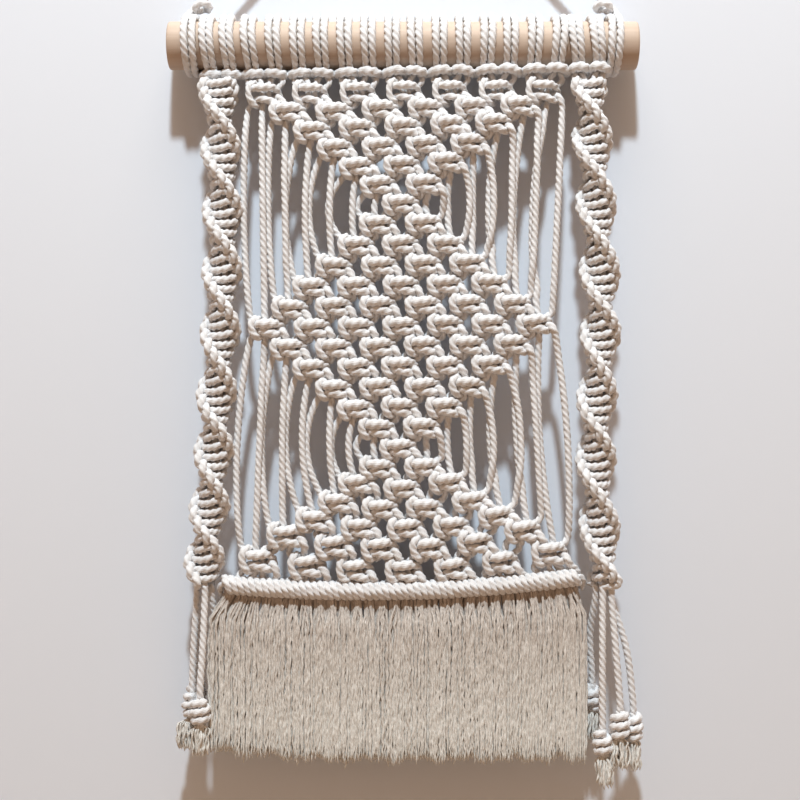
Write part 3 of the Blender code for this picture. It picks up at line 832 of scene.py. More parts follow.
def folded(first, second):
    """The two halves of one folded rope as one route: up the first, down the second."""
    return np.vstack([first[::-1], second[1:]])


print("a folded rope is laid out with", len(folded(net_strand(0), net_strand(1))), "points")

# %% All ropes of the net settle
NET_ROUNDS = 160

net_paths = settle([folded(net_strand(2 * head), net_strand(2 * head + 1))
                    for head in range(NET_HEADS)], NET_ROUNDS)
print("net:", len(net_paths), "folded ropes,", metres(net_paths))

# %% The net's meshes, in three pieces side by side
NET_PIECES = (
    # side, first head, heads, nodes that it stands for
    ("left", 0, 5, ("lark_heads_2", "lark_heads_3", "net_upper")),
    ("middle", 5, 4, ("lark_heads_4", "lark_heads_5", "lark_heads_6", "net_diamond")),
    ("right", 9, 5, ("lark_heads_7", "lark_heads_8", "net_lower")),
)


def free_nodes(side):
    """The fans' solids on one side."""
    levels = ("upper", "lower")
    singles = [f"strand_{level}_{side}" for level in levels]
    return singles + [f"pair_{level}_{side}_{pair}" for level in levels for pair in range(1, 6)]


for side, first_head, heads, nodes in NET_PIECES:
    bundle = Bundle()
    for path in net_paths[first_head:first_head + heads]:
        bundle.rope(smooth_path(path, RING_STEP))
    fans = free_nodes(side) if side != "middle" else []
    bundle.piece("net_ropes_" + side, [*nodes, *fans], rope_finish)

# %% [markdown]
# ## Holding cord
#
# It lies inside the turns of the hem, and only its two short ends come out.

# %% The holding cord
CORD_RADIUS = 0.44 * ROPE           # the turns squeeze it
CORD_END = (
    # outwards from the bar's end and down in mm; past the last turn it hangs into the fringe
    (1.5, -0.2), (3.2, 1.4), (3.8, 4.6), (3.2, 8.5),
)


def cord_end(side):
    """The end of the holding cord as points, from the bar outwards and down."""
    out, down = np.array(CORD_END).T * MM
    end = BAR_LEFT if side < 0 else BAR_RIGHT
    return np.column_stack([end + side * out, HEM_Y + 0.8 * down,
                            bar_z(end) + HEM_LIFT - down])


bundle = Bundle()
across = np.linspace(BAR_LEFT, BAR_RIGHT, 40)
inside = np.column_stack([across, np.full(40, HEM_Y), bar_z(across) + HEM_LIFT])
holding = smooth_path(np.vstack([cord_end(-1)[::-1], inside, cord_end(1)]), RING_STEP)
bundle.rope(thick(holding, CORD_RADIUS))
bundle.piece("hem_cord", ["hitch_bar"], rope_finish)
print("holding cord:", metres([holding]))

# %% [markdown]
# ## Spirals
#
# At each side four ropes make a spiral. It is a chain of half knots that are
# all tied the same way round: one rope crosses in front of the core, the other
# behind it and over the first at both sides. Each half knot turns the chain a
# little further, so its two edges wind around it as ridges. So one crossing is
# written down in angles round the chain, and repeated down a turning axis.

# %% The axis of each spiral, and how it turns
SPIRAL_SWAY = {
    # x and z in millimetres
    "left": ((-123.5, -121.2, -120.2, -120.8, -122.0, -124.6, -126.2, -129.6, -132.6, -132.6),
             (-25.4, -79.6, -120.6, -160.6, -200.6, -242.6, -280.6, -317.6, -348.6, -362.1)),
    "right": ((123.8, 126.7, 129.3, 131.7, 131.7, 128.8, 128.6, 131.8, 133.8, 133.8),
              (-25.4, -75.6, -119.6, -164.6, -204.6, -247.6, -288.6, -334.6, -350.6, -362.1)),
}
SPIRAL_TURNS = {
    # heights in mm, and the half turns made by then
    "left": ((-28.6, -39.6, -79.6, -121, -160.4, -201, -242.4, -280.4, -317.8, -352.4, -389.6),
             (-0.15, 0, 1, 2, 3, 4, 5, 6, 7, 8, 9)),
    "right": ((-28.6, -34.9, -75.6, -119.3, -165, -205, -247.7, -288.4, -335.1, -377.6),
              (-0.1, 0, 1, 2, 3, 4, 5, 6, 7, 8)),
}


def around_axis(side, z, angle, radius):
    """Points at an angle and radius in the turning frame of a spiral, at height z."""
    middle_x, middle_z = (np.array(row) * MM for row in SPIRAL_SWAY[side])
    turn_z, turns = SPIRAL_TURNS[side]
    middle = np.interp(-z, -middle_z, middle_x)
    turn = np.pi * np.interp(-z, -np.array(turn_z) * MM, turns)
    return np.column_stack([middle + radius * np.cos(angle + turn),
                            PANEL_Y + radius * np.sin(angle + turn), z + DOWEL_Z])


for side, (_, turns) in SPIRAL_TURNS.items():
    print("the", side, "spiral makes", max(turns) / 2, "turns")

# %% Half knots around a turning core
HALF_KNOT = 6.2 * MM                # height of one half knot
SPIRAL_FIRST_Z = -29.6 * MM
HALF_KNOTS = 54
CROSSING = (
    # angle in degrees from the right, over the back; distance from the axis, rise and rope
    # radius in mm; from behind the left edge over the front and round the right edge
    (200.4, 9.2, 0.0, 2.4), (220.6, 7.4, -0.2, 2.6), (243.4, 5.8, -0.3, 2.8), (278.7, 5.3, 0.0, 2.9),
    (312.3, 5.9, 0.5, 2.8), (338.2, 7.3, 1.2, 2.6), (354.0, 8.4, 2.6, 2.5), (393.0, 8.4, 2.9, 2.6),
    (403.0, 10.7, 0.8, 2.9), (399.0, 11.3, -2.0, 2.9), (384.0, 10.7, -4.4, 2.5),
)
SPIRAL_CORE = 2.2                   # the core ropes lie this far from the axis, in mm
SPIRAL_HOLD = 0.25


def worker(side, start):
    """A working rope: it crosses in front and behind in turn, one half knot after another."""
    routes = []
    for knot in range(HALF_KNOTS):
        angle, distance, rise, radius = np.array(CROSSING).T
        half_turns = (knot + start) % 2
        z = SPIRAL_FIRST_Z - HALF_KNOT * knot + rise * MM
        points = around_axis(side, z, np.radians(angle) + np.pi * half_turns, distance * MM)
        routes.append(marked(points, SPIRAL_HOLD, radius * MM))
    return np.vstack(routes)


def core(side, angle):
    """A core rope runs straight down, close to the axis, one point for each half knot."""
    z = np.arange(SPIRAL_FIRST_Z, SPIRAL_FIRST_Z - HALF_KNOT * HALF_KNOTS, -HALF_KNOT)
    points = around_axis(side, z, np.full(len(z), angle), np.full(len(z), SPIRAL_CORE * MM))
    return marked(points, SPIRAL_HOLD)


print("one crossing is written with", len(CROSSING), "points")

# %% Where the tails hang
TAILS = {
    # top x y, middle x y, knot x y, knot top z, knot length; in mm from the dowel's axis
    "left_1": ((-137.6, -12.0), (-139.4, -12.5), (-140.8, -11.5), -435.6, 19.0),
    "left_2": ((-131.6, -17.5), (-132.4, -20.5), (-134.0, -22.6), -437.1, 19.0),
    "left_3": ((-134.4, -6.2), (-137.2, -2.5), (-140.2, 2.4), -430.6, 19.0),
    "left_4": ((-128.0, -10.2), (-124.0, -4.0), (-121.0, -0.5), -439.6, 19.0),
    "right_1": ((129.0, -11.5), (126.0, -4.2), (127.6, -2.0), -431.6, 18.0),
    "right_2": ((132.6, -18.0), (132.2, -20.0), (132.4, -19.2), -458.6, 19.0),
    "right_3": ((138.6, -17.0), (141.0, -19.4), (143.6, -20.4), -446.1, 20.0),
    "right_4": ((138.6, -10.8), (149.2, -12.0), (153.6, -11.8), -449.1, 20.0),
}
TAIL_TOP = -362.7 * MM              # right under the last half knot
TAIL_LEAD = 8 * MM                  # plumb stretch at each end
KNOT_GAP = 0.3 * MM                 # from a tail's end down to its knot


def tail_route(name):
    """The tail's own points: plumb out of the spiral, a slight bend, plumb into the knot."""
    top, middle, knot, knot_z, _ = TAILS[name]
    start, end = TAIL_TOP, knot_z * MM + KNOT_GAP
    heights = (start, start - TAIL_LEAD, 0.5 * (start + end), end + TAIL_LEAD, end)
    places = (top, top, middle, knot, knot)
    return np.array([(x * MM, y * MM, z + DOWEL_Z) for (x, y), z in zip(places, heights)])


print(len(TAILS), "tails")

# %% Both spirals
SIDE_HEADS = {"left": (-129.0 * MM, -115.6 * MM), "right": (117.4 * MM, 131.4 * MM)}
SIDE_LEAN = -2.5 * MM
SIDE_TILT = 2.0                     # degrees
SIDE_HEAD_WIDTH = 0.88              # of a head over the net
SPIRAL_ROUNDS = 70
SPIRAL_ORDER = {
    # which tail each rope becomes: left worker, left core, right core, right worker
    "left": (1, 2, 3, 4),
    "right": (1, 4, 3, 2),
}


def spiral_strand(side, number):
    """Head, then worker or core, then a point just above its tail, so that it aims there."""
    tilt = -SIDE_TILT if number // 2 else SIDE_TILT
    leg = head_leg(SIDE_HEADS[side][number // 2], 1 if number % 2 else -1, SIDE_LEAN, tilt,
                   SIDE_HEAD_WIDTH)
    body = {0: lambda: worker(side, 0), 1: lambda: core(side, np.pi),
            2: lambda: core(side, 0.0), 3: lambda: worker(side, 1)}[number]()
    tail = tail_route(f"{side}_{SPIRAL_ORDER[side][number]}")[:1] - (0, 0, 0.5 * MM)
    return np.vstack([leg, body, marked(tail, 1.0)])


for side in ("left", "right"):
    strands = [spiral_strand(side, number) for number in range(4)]
    bundle = Bundle()
    paths = settle([folded(*strands[:2]), folded(*strands[2:])], SPIRAL_ROUNDS)
    for path in paths:
        bundle.rope(smooth_path(path, RING_STEP))
    head = "lark_heads_1" if side == "left" else "lark_heads_9"
    bundle.piece("spiral_ropes_" + side, ["spiral_" + side, head], rope_finish)
    print("spiral", side, metres(paths))

# %% [markdown]
# ## Fringe
#
# Under the hem the ropes are unravelled. What is left are their single yarns,
# which keep the crimp of the twist. Blender's hair would be quick to comb, but it isn't a mesh and
# wouldn't be exported. So the fringe is a thousand thin tubes on wavy lines, all
# worked out as one array: bunched where they leave their rope, even further
# down. A front layer shows, and a back layer of wider yarns closes the gaps in it.

# %% Fringe yarn
# painted shade: right under the hem, where its shadow falls, the yarns are coloured darker; towards
# their cut ends they keep their own pale tone
HEM_SHADE_Z, SHADE_END_Z = DOWEL_Z - 372 * MM, DOWEL_Z - 480 * MM
HEM_SHADE_TONES = (0.43, 0.375, 0.33, 1), (0.69, 0.635, 0.59, 1)
FRINGE_OWN_TONES = (0.59, 0.565, 0.52, 1), (0.93, 0.93, 0.905, 1)
STREAK_SCALE, STREAK_LENGTH = 1000.0, 0.3


def fringe_cotton():
    """Loose yarns, each a little different, with painted shade: darker in colour towards the hem, pale
    at their ends.
    """
    cotton = Finish("fringe cotton", roughness=0.9, sheen=0.2)
    place = cotton.object_place()
    drawn_out = cotton.stretched(place, (1.0, 1.0, STREAK_LENGTH))
    streaks = cotton.noise(drawn_out, STREAK_SCALE, 3.0, 0.6)
    cotton.bump(streaks, 0.5, 0.4 * MM)
    sharper = (streaks - 0.5) * 3.0 + 0.5
    height = cotton.parts(place)[2]
    # painted shade: how far up towards the hem a point is, which darkens its colour
    hem_shade_share = ((height - SHADE_END_Z) * (1 / (HEM_SHADE_Z - SHADE_END_Z))).maths("MAXIMUM", 0.0)
    own_colour = cotton.between(sharper, *FRINGE_OWN_TONES)
    hem_shaded = cotton.between(sharper, *HEM_SHADE_TONES)
    cotton.feed("Base Color", cotton.between(hem_shade_share.power(1.6), own_colour, hem_shaded))
    return cotton.material


fringe_finish = fringe_cotton()
print(fringe_finish.name, "has", len(fringe_finish.node_tree.nodes), "nodes")

# %% Wavy lines
CRIMP_LENGTH = 11 * MM              # from one wave of a yarn to the next
CRIMP_LENGTHS, CRIMP_SIZES = (0.75, 1.3), (0.5, 1.3)    # shares of it, and of its size
CRIMP_GROWS = 8                     # it has its full size after an eighth of the way
SLOW_WAVE = 31 * MM                 # stretches and squeezes those waves
SQUEEZE = 1.2                       # by this much, in radians
DRIFT = 0.8 * MM
BUNCH_EASE = 5.0                    # a yarn is in its place after a fifth of its way
FORWARD_EASE = (2.0, 5.0)           # and as far in front as it gets after a half to a fifth


def eased(t):
    """From 0 to 1 with a gentle start and a gentle end: 3t² - 2t³."""
    t = np.clip(t, 0, 1)
    return t * t * (3 - 2 * t)


def yarn_paths(rings, top, end, crimp):
    """Wavy lines from top to end, both (x, y, z) of all yarns, as one array (yarn, ring, 3).

    Sideways a yarn eases from its place in the bunch to its place in the row;
    the crimp is a flattened helix of uneven length on top of that.
    """
    top_x, top_y, top_z, end_x, end_y, end_z = (np.reshape(row, (-1, 1)) for row in (*top, *end))
    each = top_x.shape
    t = np.linspace(0, 1, rings)[None, :]
    ease, ease_forward = eased(BUNCH_EASE * t), eased(dice.uniform(*FORWARD_EASE, each) * t)
    run = (top_z - end_z) * t
    phase = dice.uniform(0, 2 * np.pi, each)
    length = CRIMP_LENGTH * dice.uniform(*CRIMP_LENGTHS, each)
    squeeze = SQUEEZE * np.sin(2 * np.pi * run / SLOW_WAVE + 2 * phase)
    turn = phase + 2 * np.pi * run / length + squeeze
    size = crimp * dice.uniform(*CRIMP_SIZES, each) * np.clip(t * CRIMP_GROWS, 0, 1)
    drift = dice.normal(0, DRIFT, each) * np.sin(np.pi * t) * np.sin(3 * phase + 5 * t)
    x = top_x + (end_x - top_x) * ease + size * np.sin(turn) + drift
    y = top_y + (end_y - top_y) * ease_forward + size * np.cos(turn)
    return np.stack([x, y, top_z - run], -1)


print("eased in four steps:", *np.round(eased(np.linspace(0, 1, 5)), 2))

# %% Tubes along all of them
YARN_SIDES = 4
YARN_TWIST = np.radians(35)         # from one ring of points to the next
YARN_THINS = 6                      # over the last sixth of its length
YARN_UV_LENGTH = 0.1


def yarn_arrays(paths, radius):
    """All yarns at once: a small ring of points in the XY plane at every point of every path.

    Each ring is turned a little further than the one above it, so a yarn looks twisted.
    """
    count, rings, _ = paths.shape
    side = 2 * np.pi * np.arange(YARN_SIDES) / YARN_SIDES
    side = side + YARN_TWIST * np.arange(rings)[:, None] + dice.uniform(0, 2 * np.pi, (count, 1, 1))
    taper = np.clip(YARN_THINS * (1.02 - np.linspace(0, 1, rings)), 0, 1) ** 0.5
    ring = np.stack([np.cos(side), np.sin(side), 0 * side], -1)
    points = paths[:, :, None] + radius * taper[None, :, None, None] * ring
    tips = paths[:, [0, -1]] + np.array([[0, 0, 0.3], [0, 0, -0.3]]) * radius
    # the yarns run downwards, so each ring is walked the other way round
    points = points[:, :, ::-1].reshape(count, -1, 3)
    points = np.concatenate([points, tips], 1)
    one = tube_faces(rings, YARN_SIDES)
    faces = one[None] + (np.arange(count) * points.shape[1])[:, None, None]
    run = np.linspace(0, 1, rings) * YARN_UV_LENGTH
    uv = np.repeat(tube_uv(run, YARN_SIDES)[None], count, 0)
    uv[..., 0] += dice.uniform(0, UV_SHIFT, (count, 1, 1))
    return points.reshape(-1, 3), faces.reshape(-1, 4), uv.reshape(-1, 4, 2)


print("a yarn is a tube of", YARN_SIDES, "sides")

# %% Where the yarns leave the hem
FRINGE_DEPTH = 2.4 * MM             # thickness of one layer
FRINGE_TOP = 2.0 * MM               # under the holding cord's middle
BUNCH_SHIFT = -0.5 * MM             # the ropes leave their turns a little to the left
BUNCH_HALF = {"front": 3.6 * MM, "back": 4.3 * MM}


def fringe_tops(layer, strand, depth, in_bunch):
    """Every rope is a round bunch at its top, so its yarns stand forward by sqrt(1 - 0.9 x²).

    In_bunch, or x, goes from -1 at a rope's left side to 1 at its right. The back layer is flat.
    """
    x = hem_x(strand) + BUNCH_SHIFT + in_bunch * BUNCH_HALF[layer]
    bunch = 1.2 - np.sqrt(1 - 0.9 * in_bunch ** 2) * dice.uniform(0.2, 1.6, len(strand))
    y = PANEL_Y + (bunch if layer == "front" else 0.8 + depth) * FRINGE_DEPTH
    return x, y, bar_z(x) - FRINGE_TOP


print("bunches of yarn, %.1f mm wide in front" % (2 * BUNCH_HALF["front"] / MM))

# %% Where the yarns end
FRINGE_END = -477.6 * MM
UNEVEN_END = 1.7                    # spread of the cut edge in mm
FLARE_LEFT, FLARE_RIGHT = 8.0 * MM, 4.9 * MM    # the fringe is wider than the bar by this much
TUFT_WIDTH, SMALL_TUFT_WIDTH = 5.1 * MM, 2.3 * MM
TUFT_HEIGHT, TUFT_DRAW = 1.4 * MM, 0.4 * MM     # how far the waves move an end, up and sideways
LEFT_RISE, LEFT_PULL = 6.0 * MM, 2.5 * MM       # of the cut edge in its left quarter


def fringe_ends(layer, share, depth):
    """An even row, flared at both sides. Waves along it draw its yarns together in tufts."""
    x = BAR_LEFT + (BAR_RIGHT - BAR_LEFT) * share
    x += FLARE_RIGHT * np.clip(2 * share - 1, 0, 1) ** 5
    x -= FLARE_LEFT * np.clip(1 - 2 * share, 0, 1) ** 5
    y = PANEL_Y + (-1.6 - depth if layer == "front" else depth - 1.2) * FRINGE_DEPTH
    tuft = np.sin(x / TUFT_WIDTH) + 0.7 * np.sin(x / SMALL_TUFT_WIDTH + 1.0)
    at_left = np.clip(4 * (0.25 - share), 0, 1)
    z = (DOWEL_Z + FRINGE_END + dice.normal(0, UNEVEN_END, len(x)) * MM + TUFT_HEIGHT * tuft
         + LEFT_RISE * at_left)
    x += TUFT_DRAW * np.cos(x / TUFT_WIDTH) - LEFT_PULL * at_left ** 2
    return x, y, z


print("the fringe ends %.0f mm below the dowel's axis" % (-FRINGE_END / MM))

# %% Both layers
YARNS_IN_ROPE = 19                  # in each of the two layers
YARN_RINGS = 34
YARN_RADIUS = {"front": 0.92 * MM, "back": 1.3 * MM}
FRINGE_CRIMP = 0.45 * MM
UNEVEN_PLACE = 0.0013               # spread along the row, of its width


def fringe_layer(layer):
    """The yarns of all ropes, in an even row; share says how far to the right a yarn is."""
    strand = np.repeat(np.arange(STRANDS), YARNS_IN_ROPE)
    count = len(strand)
    share = (strand + (np.tile(np.arange(YARNS_IN_ROPE), STRANDS) + 0.5) / YARNS_IN_ROPE) / STRANDS
    share += dice.normal(0, UNEVEN_PLACE, count)
    in_bunch, depth = dice.uniform(-1, 1, count), dice.uniform(0, 1, count)
    top = fringe_tops(layer, strand, depth, in_bunch)
    end = fringe_ends(layer, share, depth)
    bundle = Bundle()
    bundle.add(*yarn_arrays(yarn_paths(YARN_RINGS, top, end, FRINGE_CRIMP), YARN_RADIUS[layer]))
    return bundle.piece("fringe_" + layer, ["fringe"], fringe_finish)


for layer in ("front", "back"):
    fringe_layer(layer)

# %% [markdown]
# ## Hanging cord
#
# One rope carries everything. It is wound twice round the dowel at each end
# and tied there, and it runs up to its nail in a wide V. The weight pulls it
# taut, so it only bends at the nail.

# %% The cord up to the nail
HANGING_ROUTE = (
    # x, z in millimetres from the dowel's axis; the nail is under the middle
    (-134.0, 31.6), (-120.0, 47.1), (-100.0, 69.5), (-80.0, 91.9), (-60.0, 114.3),
    (-40.0, 136.7), (-24.0, 154.6), (-16.0, 163.6), (-10.4, 169.8), (-5.0, 173.6),
    (0.0, 174.5), (5.0, 173.6), (10.4, 169.8), (16.0, 163.6), (24.0, 154.6), (40.0, 136.7),
    (60.0, 114.3), (80.0, 91.9), (100.0, 69.5), (120.0, 47.1), (134.0, 31.6),
)

hanging = smooth_path([(x * MM, 0.0, z * MM + DOWEL_Z) for x, z in HANGING_ROUTE], RING_STEP)
bundle = Bundle()
bundle.rope(thick(hanging))
hanging_cord = bundle.piece("hanging_rope", ["hanging_cord"], rope_finish)
print("hanging cord:", metres([hanging]))

# %% Its turns round the dowel
HANGER_X = {"left": -143.2 * MM, "right": 142.0 * MM}
WINDING = np.radians(np.arange(75, -650, -15))
# how far outwards the turns begin, what each adds, and where they stop, in rope widths
WINDING_START, WINDING_PITCH, WINDING_ENDS = 0.72, -1.12, (-0.62, 0.56)
HANGER_KNOT = (
    # outwards from the middle, towards the back, up from the dowel's axis, in millimetres
    (133.8, 0.4, 31.4), (135.0, 1.6, 28.6), (136.0, 2.4, 25.4), (138.8, 0.2, 23.6), (140.0, -3.0, 25.0),
    (136.8, -4.8, 27.4), (132.8, -3.8, 27.6), (130.8, 0.0, 26.2), (132.8, 3.6, 25.2), (137.2, 4.4, 26.6),
    (141.2, 2.4, 26.0), (143.8, 0.6, 22.4),
)


def hanger_turns(side):
    """The knot on top of the dowel and two turns round it, out of one rope."""
    sign = -1 if side == "left" else 1
    out, back, up = np.array(HANGER_KNOT).T * MM
    knot = np.column_stack([sign * out, back, up + DOWEL_Z])
    distance = DOWEL_RADIUS + 0.5 * ROPE
    along = WINDING_START + WINDING_PITCH * np.linspace(0.0, 2.0, len(WINDING))
    x = HANGER_X[side] + sign * np.clip(along, *WINDING_ENDS) * ROPE
    turns = np.column_stack([x, -distance * np.cos(WINDING), distance * np.sin(WINDING) + DOWEL_Z])
    return np.vstack([knot, turns])


for side in ("left", "right"):
    bundle = Bundle()
    bundle.rope(thick(smooth_path(hanger_turns(side), RING_STEP), TIED_RADIUS))
    bundle.piece("hanger_knot_" + side, ["hanger_turns_" + side], rope_finish)

# %% [markdown]
# ## Tails
#
# Below each spiral its four ropes hang free. Each ends in an overhand knot,
# and what is left below the knot is unravelled into a small brush.

# %% An overhand knot
BANDS = 2.7                         # turns that show on a knot
BAND_PITCH = 0.29                   # height of one of them, of the knot's length
BAND_REACH = 4.1 * MM               # from the knot's middle to the middle of its rope
BAND_POINTS = 28
UNEVEN_BAND = 0.12 * MM
KNOT_TURN = 1.3                     # from one tail's knot to the next, in radians
KNOT_ROPE = 0.56 * ROPE
KNOT_INSIDE = ((0, 0, 0.6), (0, 0, -3), (0, 0, -8), (0.5, 0, -13))  # mm from the knot's top
KNOT_FOOT = ((0.3, 0.3, -6), (0, 0, -12), (0, 0, -19))


def overhand(name, turn):
    """Down inside the knot, out at its foot, up around it in bands, and back down inside."""
    _, _, (x, y), top, length = TAILS[name]
    t = np.linspace(0, 1, BAND_POINTS)
    angle = turn + 2 * np.pi * BANDS * t
    # the bands reach further out in the middle of the knot than at its ends
    reach = BAND_REACH * (0.86 + 0.3 * np.sin(np.pi * t)) + dice.normal(0, UNEVEN_BAND, BAND_POINTS)
    up = -0.86 + BANDS * BAND_PITCH * t
    bands = np.column_stack([reach * np.cos(angle), reach * np.sin(angle), up * length * MM])
    inside, foot = np.array(KNOT_INSIDE) * MM, np.array(KNOT_FOOT) * MM
    return np.vstack([inside, bands, foot]) + (x * MM, y * MM, top * MM + DOWEL_Z)


print("an overhand knot shows", BANDS, "turns")

# %% A brush under it
BRUSH_YARNS = 44
BRUSH_RINGS = 12
BRUSH_LENGTH = 19 * MM
BRUSH_YARN_RADIUS = 0.85 * YARN_RADIUS["front"]
BRUSH_CRIMP = 0.5 * MM
BRUSH_START = 3.0 * MM              # inside the knot
BRUSH_TOP = 1.4 * MM                # its radius there
BRUSH_FAN = (5.6 * MM, 4.4 * MM)    # its half width and half depth at its end
BRUSH_LEAN = {"left_1": (-5 * MM, 0.0), "left_4": (2 * MM, 0.0), "right_2": (1 * MM, -1 * MM)}


def brush(end, lean):
    """Short crimped yarns that fan out below a knot, evenly over an ellipse."""
    angle = dice.uniform(0, 2 * np.pi, BRUSH_YARNS)
    spread = np.sqrt(dice.uniform(0, 1, BRUSH_YARNS))
    x, y = spread * np.cos(angle), spread * np.sin(angle)
    top = (end[0] + BRUSH_TOP * x, end[1] + BRUSH_TOP * y, np.full(BRUSH_YARNS, end[2] + BRUSH_START))
    tip = (end[0] + lean[0] + BRUSH_FAN[0] * x, end[1] + lean[1] + BRUSH_FAN[1] * y,
           end[2] - BRUSH_LENGTH * dice.uniform(0.75, 1.02, BRUSH_YARNS))
    return yarn_paths(BRUSH_RINGS, top, tip, BRUSH_CRIMP)


print("a brush has", BRUSH_YARNS, "yarns, up to %.0f mm long" % (BRUSH_LENGTH / MM))

# %% Every tail with its knot and its brush
for order, name in enumerate(TAILS):
    path = smooth_path(tail_route(name), RING_STEP)
    bundle = Bundle()
    bundle.rope(thick(path))
    tail = bundle.piece("tail_rope_" + name, ["tail_" + name], rope_finish)
    knot = overhand(name, KNOT_TURN * order)
    bundle = Bundle()
    bundle.rope(thick(smooth_path(knot, RING_STEP), KNOT_ROPE))
    end_knot = bundle.piece("overhand_" + name, ["tail_knot_" + name], rope_finish)
    bundle = Bundle()
    bundle.add(*yarn_arrays(brush(knot[-1], BRUSH_LEAN.get(name, (0.0, 0.0))), BRUSH_YARN_RADIUS))
    end_brush = bundle.piece("brush_" + name, ["tail_knot_" + name], fringe_finish)
    travelled(path)[-1]
    print(name, "tail:", round(travelled(path)[-1] / MM), "mm")

travelled(hanging)[-1]

# %% [markdown]
# ## Dowel
#
# The dowel is sanded birch: pale, matt, with fine grain lines along it. A
# cylinder with bevelled edges would do for its shape. Here a short profile is
# turned round the dowel's axis, as on a lathe, because the same tube faces as
# for the ropes close it. The grain is noise stretched along the dowel.

# %% Birch
BIRCH_DIM, BIRCH_PALE = (0.485, 0.378, 0.297, 1), (0.665, 0.546, 0.458, 1)
BIRCH_CLOUD = (0.615, 0.50, 0.415, 1)


def birch():
    """Grain between two tones, and a third tone mixed in by soft clouds, up to a half."""
    wood = Finish("birch", roughness=0.55)
    place = wood.object_place()
    grain = wood.noise(wood.stretched(place, (0.03, 1.0, 1.0)), 420.0, 4.0, 0.65)
    cloud = wood.noise(wood.stretched(place, (0.2, 1.0, 1.0)), 40.0, 2.0)
    colour = wood.between(grain, BIRCH_DIM, BIRCH_PALE)
    wood.feed("Base Color", wood.between(cloud * 0.5, colour, BIRCH_CLOUD))
    wood.bump(grain, 0.15, 0.2 * MM)
    return wood.material


birch_finish = birch()
print(birch_finish.name, "has", len(birch_finish.node_tree.nodes), "nodes")

# %% The dowel, turned
DOWEL_PROFILE = (
    # from the middle and radius in mm: a flat end, a small rounding, the straight length
    (158.0, 10.0), (158.0, 14.8), (157.8, 15.4), (157.3, 15.8), (156.6, 16.0), (154.0, 16.0),
)
DOWEL_SIDES = 96


def turned(profile, sides):
    """A profile of x and radius, turned round the X axis and closed at both ends."""
    x, radius = profile.T
    side = 2 * np.pi * np.arange(sides) / sides
    rings = np.stack([np.repeat(x[:, None], sides, 1), radius[:, None] * np.cos(side),
                      radius[:, None] * np.sin(side)], -1)
    points = np.vstack([rings.reshape(-1, 3), [(x[0], 0, 0), (x[-1], 0, 0)]])
    return points, tube_faces(len(x), sides), tube_uv(travelled(profile), sides)


right_end = np.array(DOWEL_PROFILE) * MM
bundle = Bundle()
points, faces, uv = turned(np.vstack([right_end * (-1, 1), right_end[::-1]]), DOWEL_SIDES)
bundle.add(points + (0, 0, DOWEL_Z), faces, uv)
bundle.piece("dowel_rod", ["dowel"], birch_finish)

# %% [markdown]
# ## Stage and light
#
# One lamp shines from above and in front, small enough to draw shadows with
# soft edges, and a pale surround fills them. A second, wide lamp close in front
# stands for the light that a room's ceiling throws back.

# %% Backdrop and floor
BACKDROP_Y = 21.5 * MM
FLOOR_Z, STAGE_TOP = -1.3, 2.0
WIDE = 3.0
PAINT_TONE = (0.77, 0.81, 0.875, 1)
BOARD_TONE = (0.50, 0.37, 0.27, 1)


def stage_plane(name, points, material):
    """One four-cornered face that isn't part of the hanging."""
    mesh = bpy.data.meshes.new(name)
    mesh.from_pydata(points, [], [(0, 1, 2, 3)])
    plane = bpy.data.objects.new(name, mesh)
    bpy.context.scene.collection.objects.link(plane)
    mesh.materials.append(material)


def backdrop_paint():
    """Pale paint in front; from behind it lets everything through."""
    paint = Finish("backdrop paint", roughness=0.9)
    paint.set_socket("Base Color", PAINT_TONE)
    behind = paint.node("ShaderNodeNewGeometry", {}, {}, "Backfacing")
    clear = paint.node("ShaderNodeBsdfTransparent", {}, {})
    output = paint.tree.nodes["Material Output"]
    front = Wire(paint, paint.shader.outputs[0])
    mixed = paint.node("ShaderNodeMixShader", {}, [behind, front, clear])
    paint.tree.links.new(mixed.socket, output.inputs["Surface"])
    return paint.material


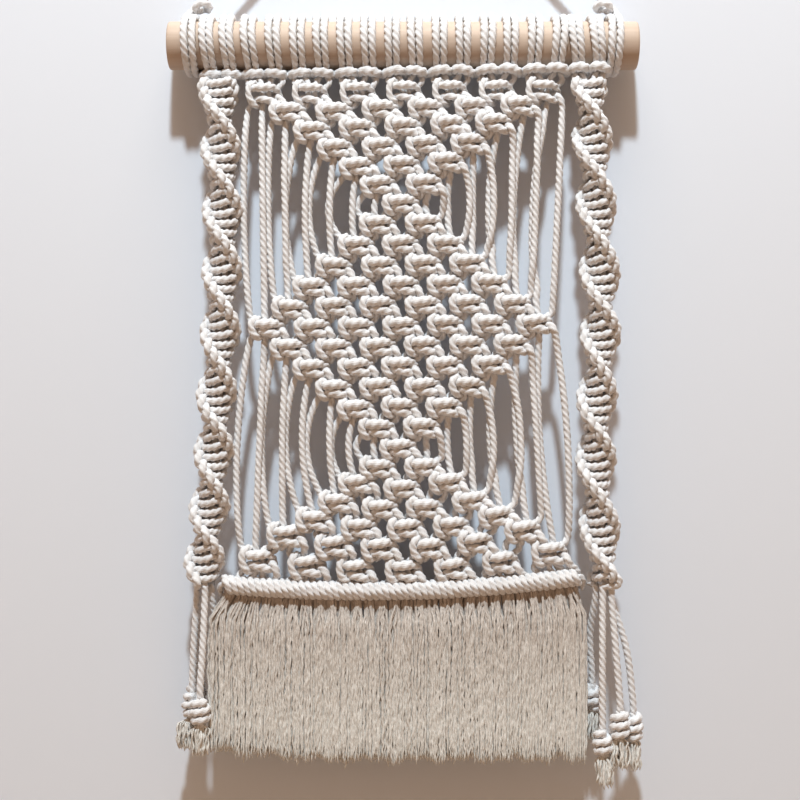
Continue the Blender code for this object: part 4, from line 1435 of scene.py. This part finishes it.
def floor_boards():
    """Plain brown boards, far below."""
    boards = Finish("floor boards", roughness=0.6)
    boards.set_socket("Base Color", BOARD_TONE)
    return boards.material


stage_plane("backdrop", [(-WIDE, BACKDROP_Y, FLOOR_Z), (WIDE, BACKDROP_Y, FLOOR_Z),
                         (WIDE, BACKDROP_Y, STAGE_TOP), (-WIDE, BACKDROP_Y, STAGE_TOP)],
            backdrop_paint())
stage_plane("floor", [(-WIDE, -WIDE, FLOOR_Z), (WIDE, -WIDE, FLOOR_Z), (WIDE, WIDE, FLOOR_Z),
                      (-WIDE, WIDE, FLOOR_Z)], floor_boards())
print("backdrop %.1f mm behind the dowel's axis" % (BACKDROP_Y / MM))

# %% Lamps and surround
LAMPS = (
    # name, watts, where it is, where it shines, diameter of its disk, colour
    ("key", 81.0, (-0.03, -1.5, 1.96), (0.0, 0.0, -0.29), 0.18, (0.80, 0.925, 1.0)),
    ("ceiling", 7.5, (0.0, -0.35, 1.0), (0.0, -0.05, -0.3), 0.8, (1.0, 0.90, 0.78)),
)
SURROUND, SURROUND_STRENGTH = (1.0, 0.683, 0.469, 1), 0.43
GAMMA = 0.87                        # under 1 deepens the mid tones


def add_lamp(name, watts, place, target, size, colour):
    """A disk of light. It shines along its own -Z, so that axis is turned to the target."""
    data = bpy.data.lights.new(name, "AREA")
    data.shape, data.size = "DISK", size
    data.energy, data.color = watts, colour
    lamp = bpy.data.objects.new(name, data)
    bpy.context.scene.collection.objects.link(lamp)
    lamp.location = place
    x, y, z = np.array(target) - np.array(place)
    lamp.rotation_euler = (np.arctan2(np.hypot(x, y), -z), 0.0, np.arctan2(y, x) - np.pi / 2)


for lamp in LAMPS:
    add_lamp(*lamp)
    print("lamp:", *lamp[:2], "watts")

world = bpy.data.worlds.new("surround")
world.use_nodes = True
background = world.node_tree.nodes["Background"]
background.inputs["Color"].default_value = SURROUND
background.inputs["Strength"].default_value = SURROUND_STRENGTH
bpy.context.scene.world = world
bpy.context.scene.view_settings.view_transform = "Standard"
bpy.context.scene.view_settings.gamma = GAMMA
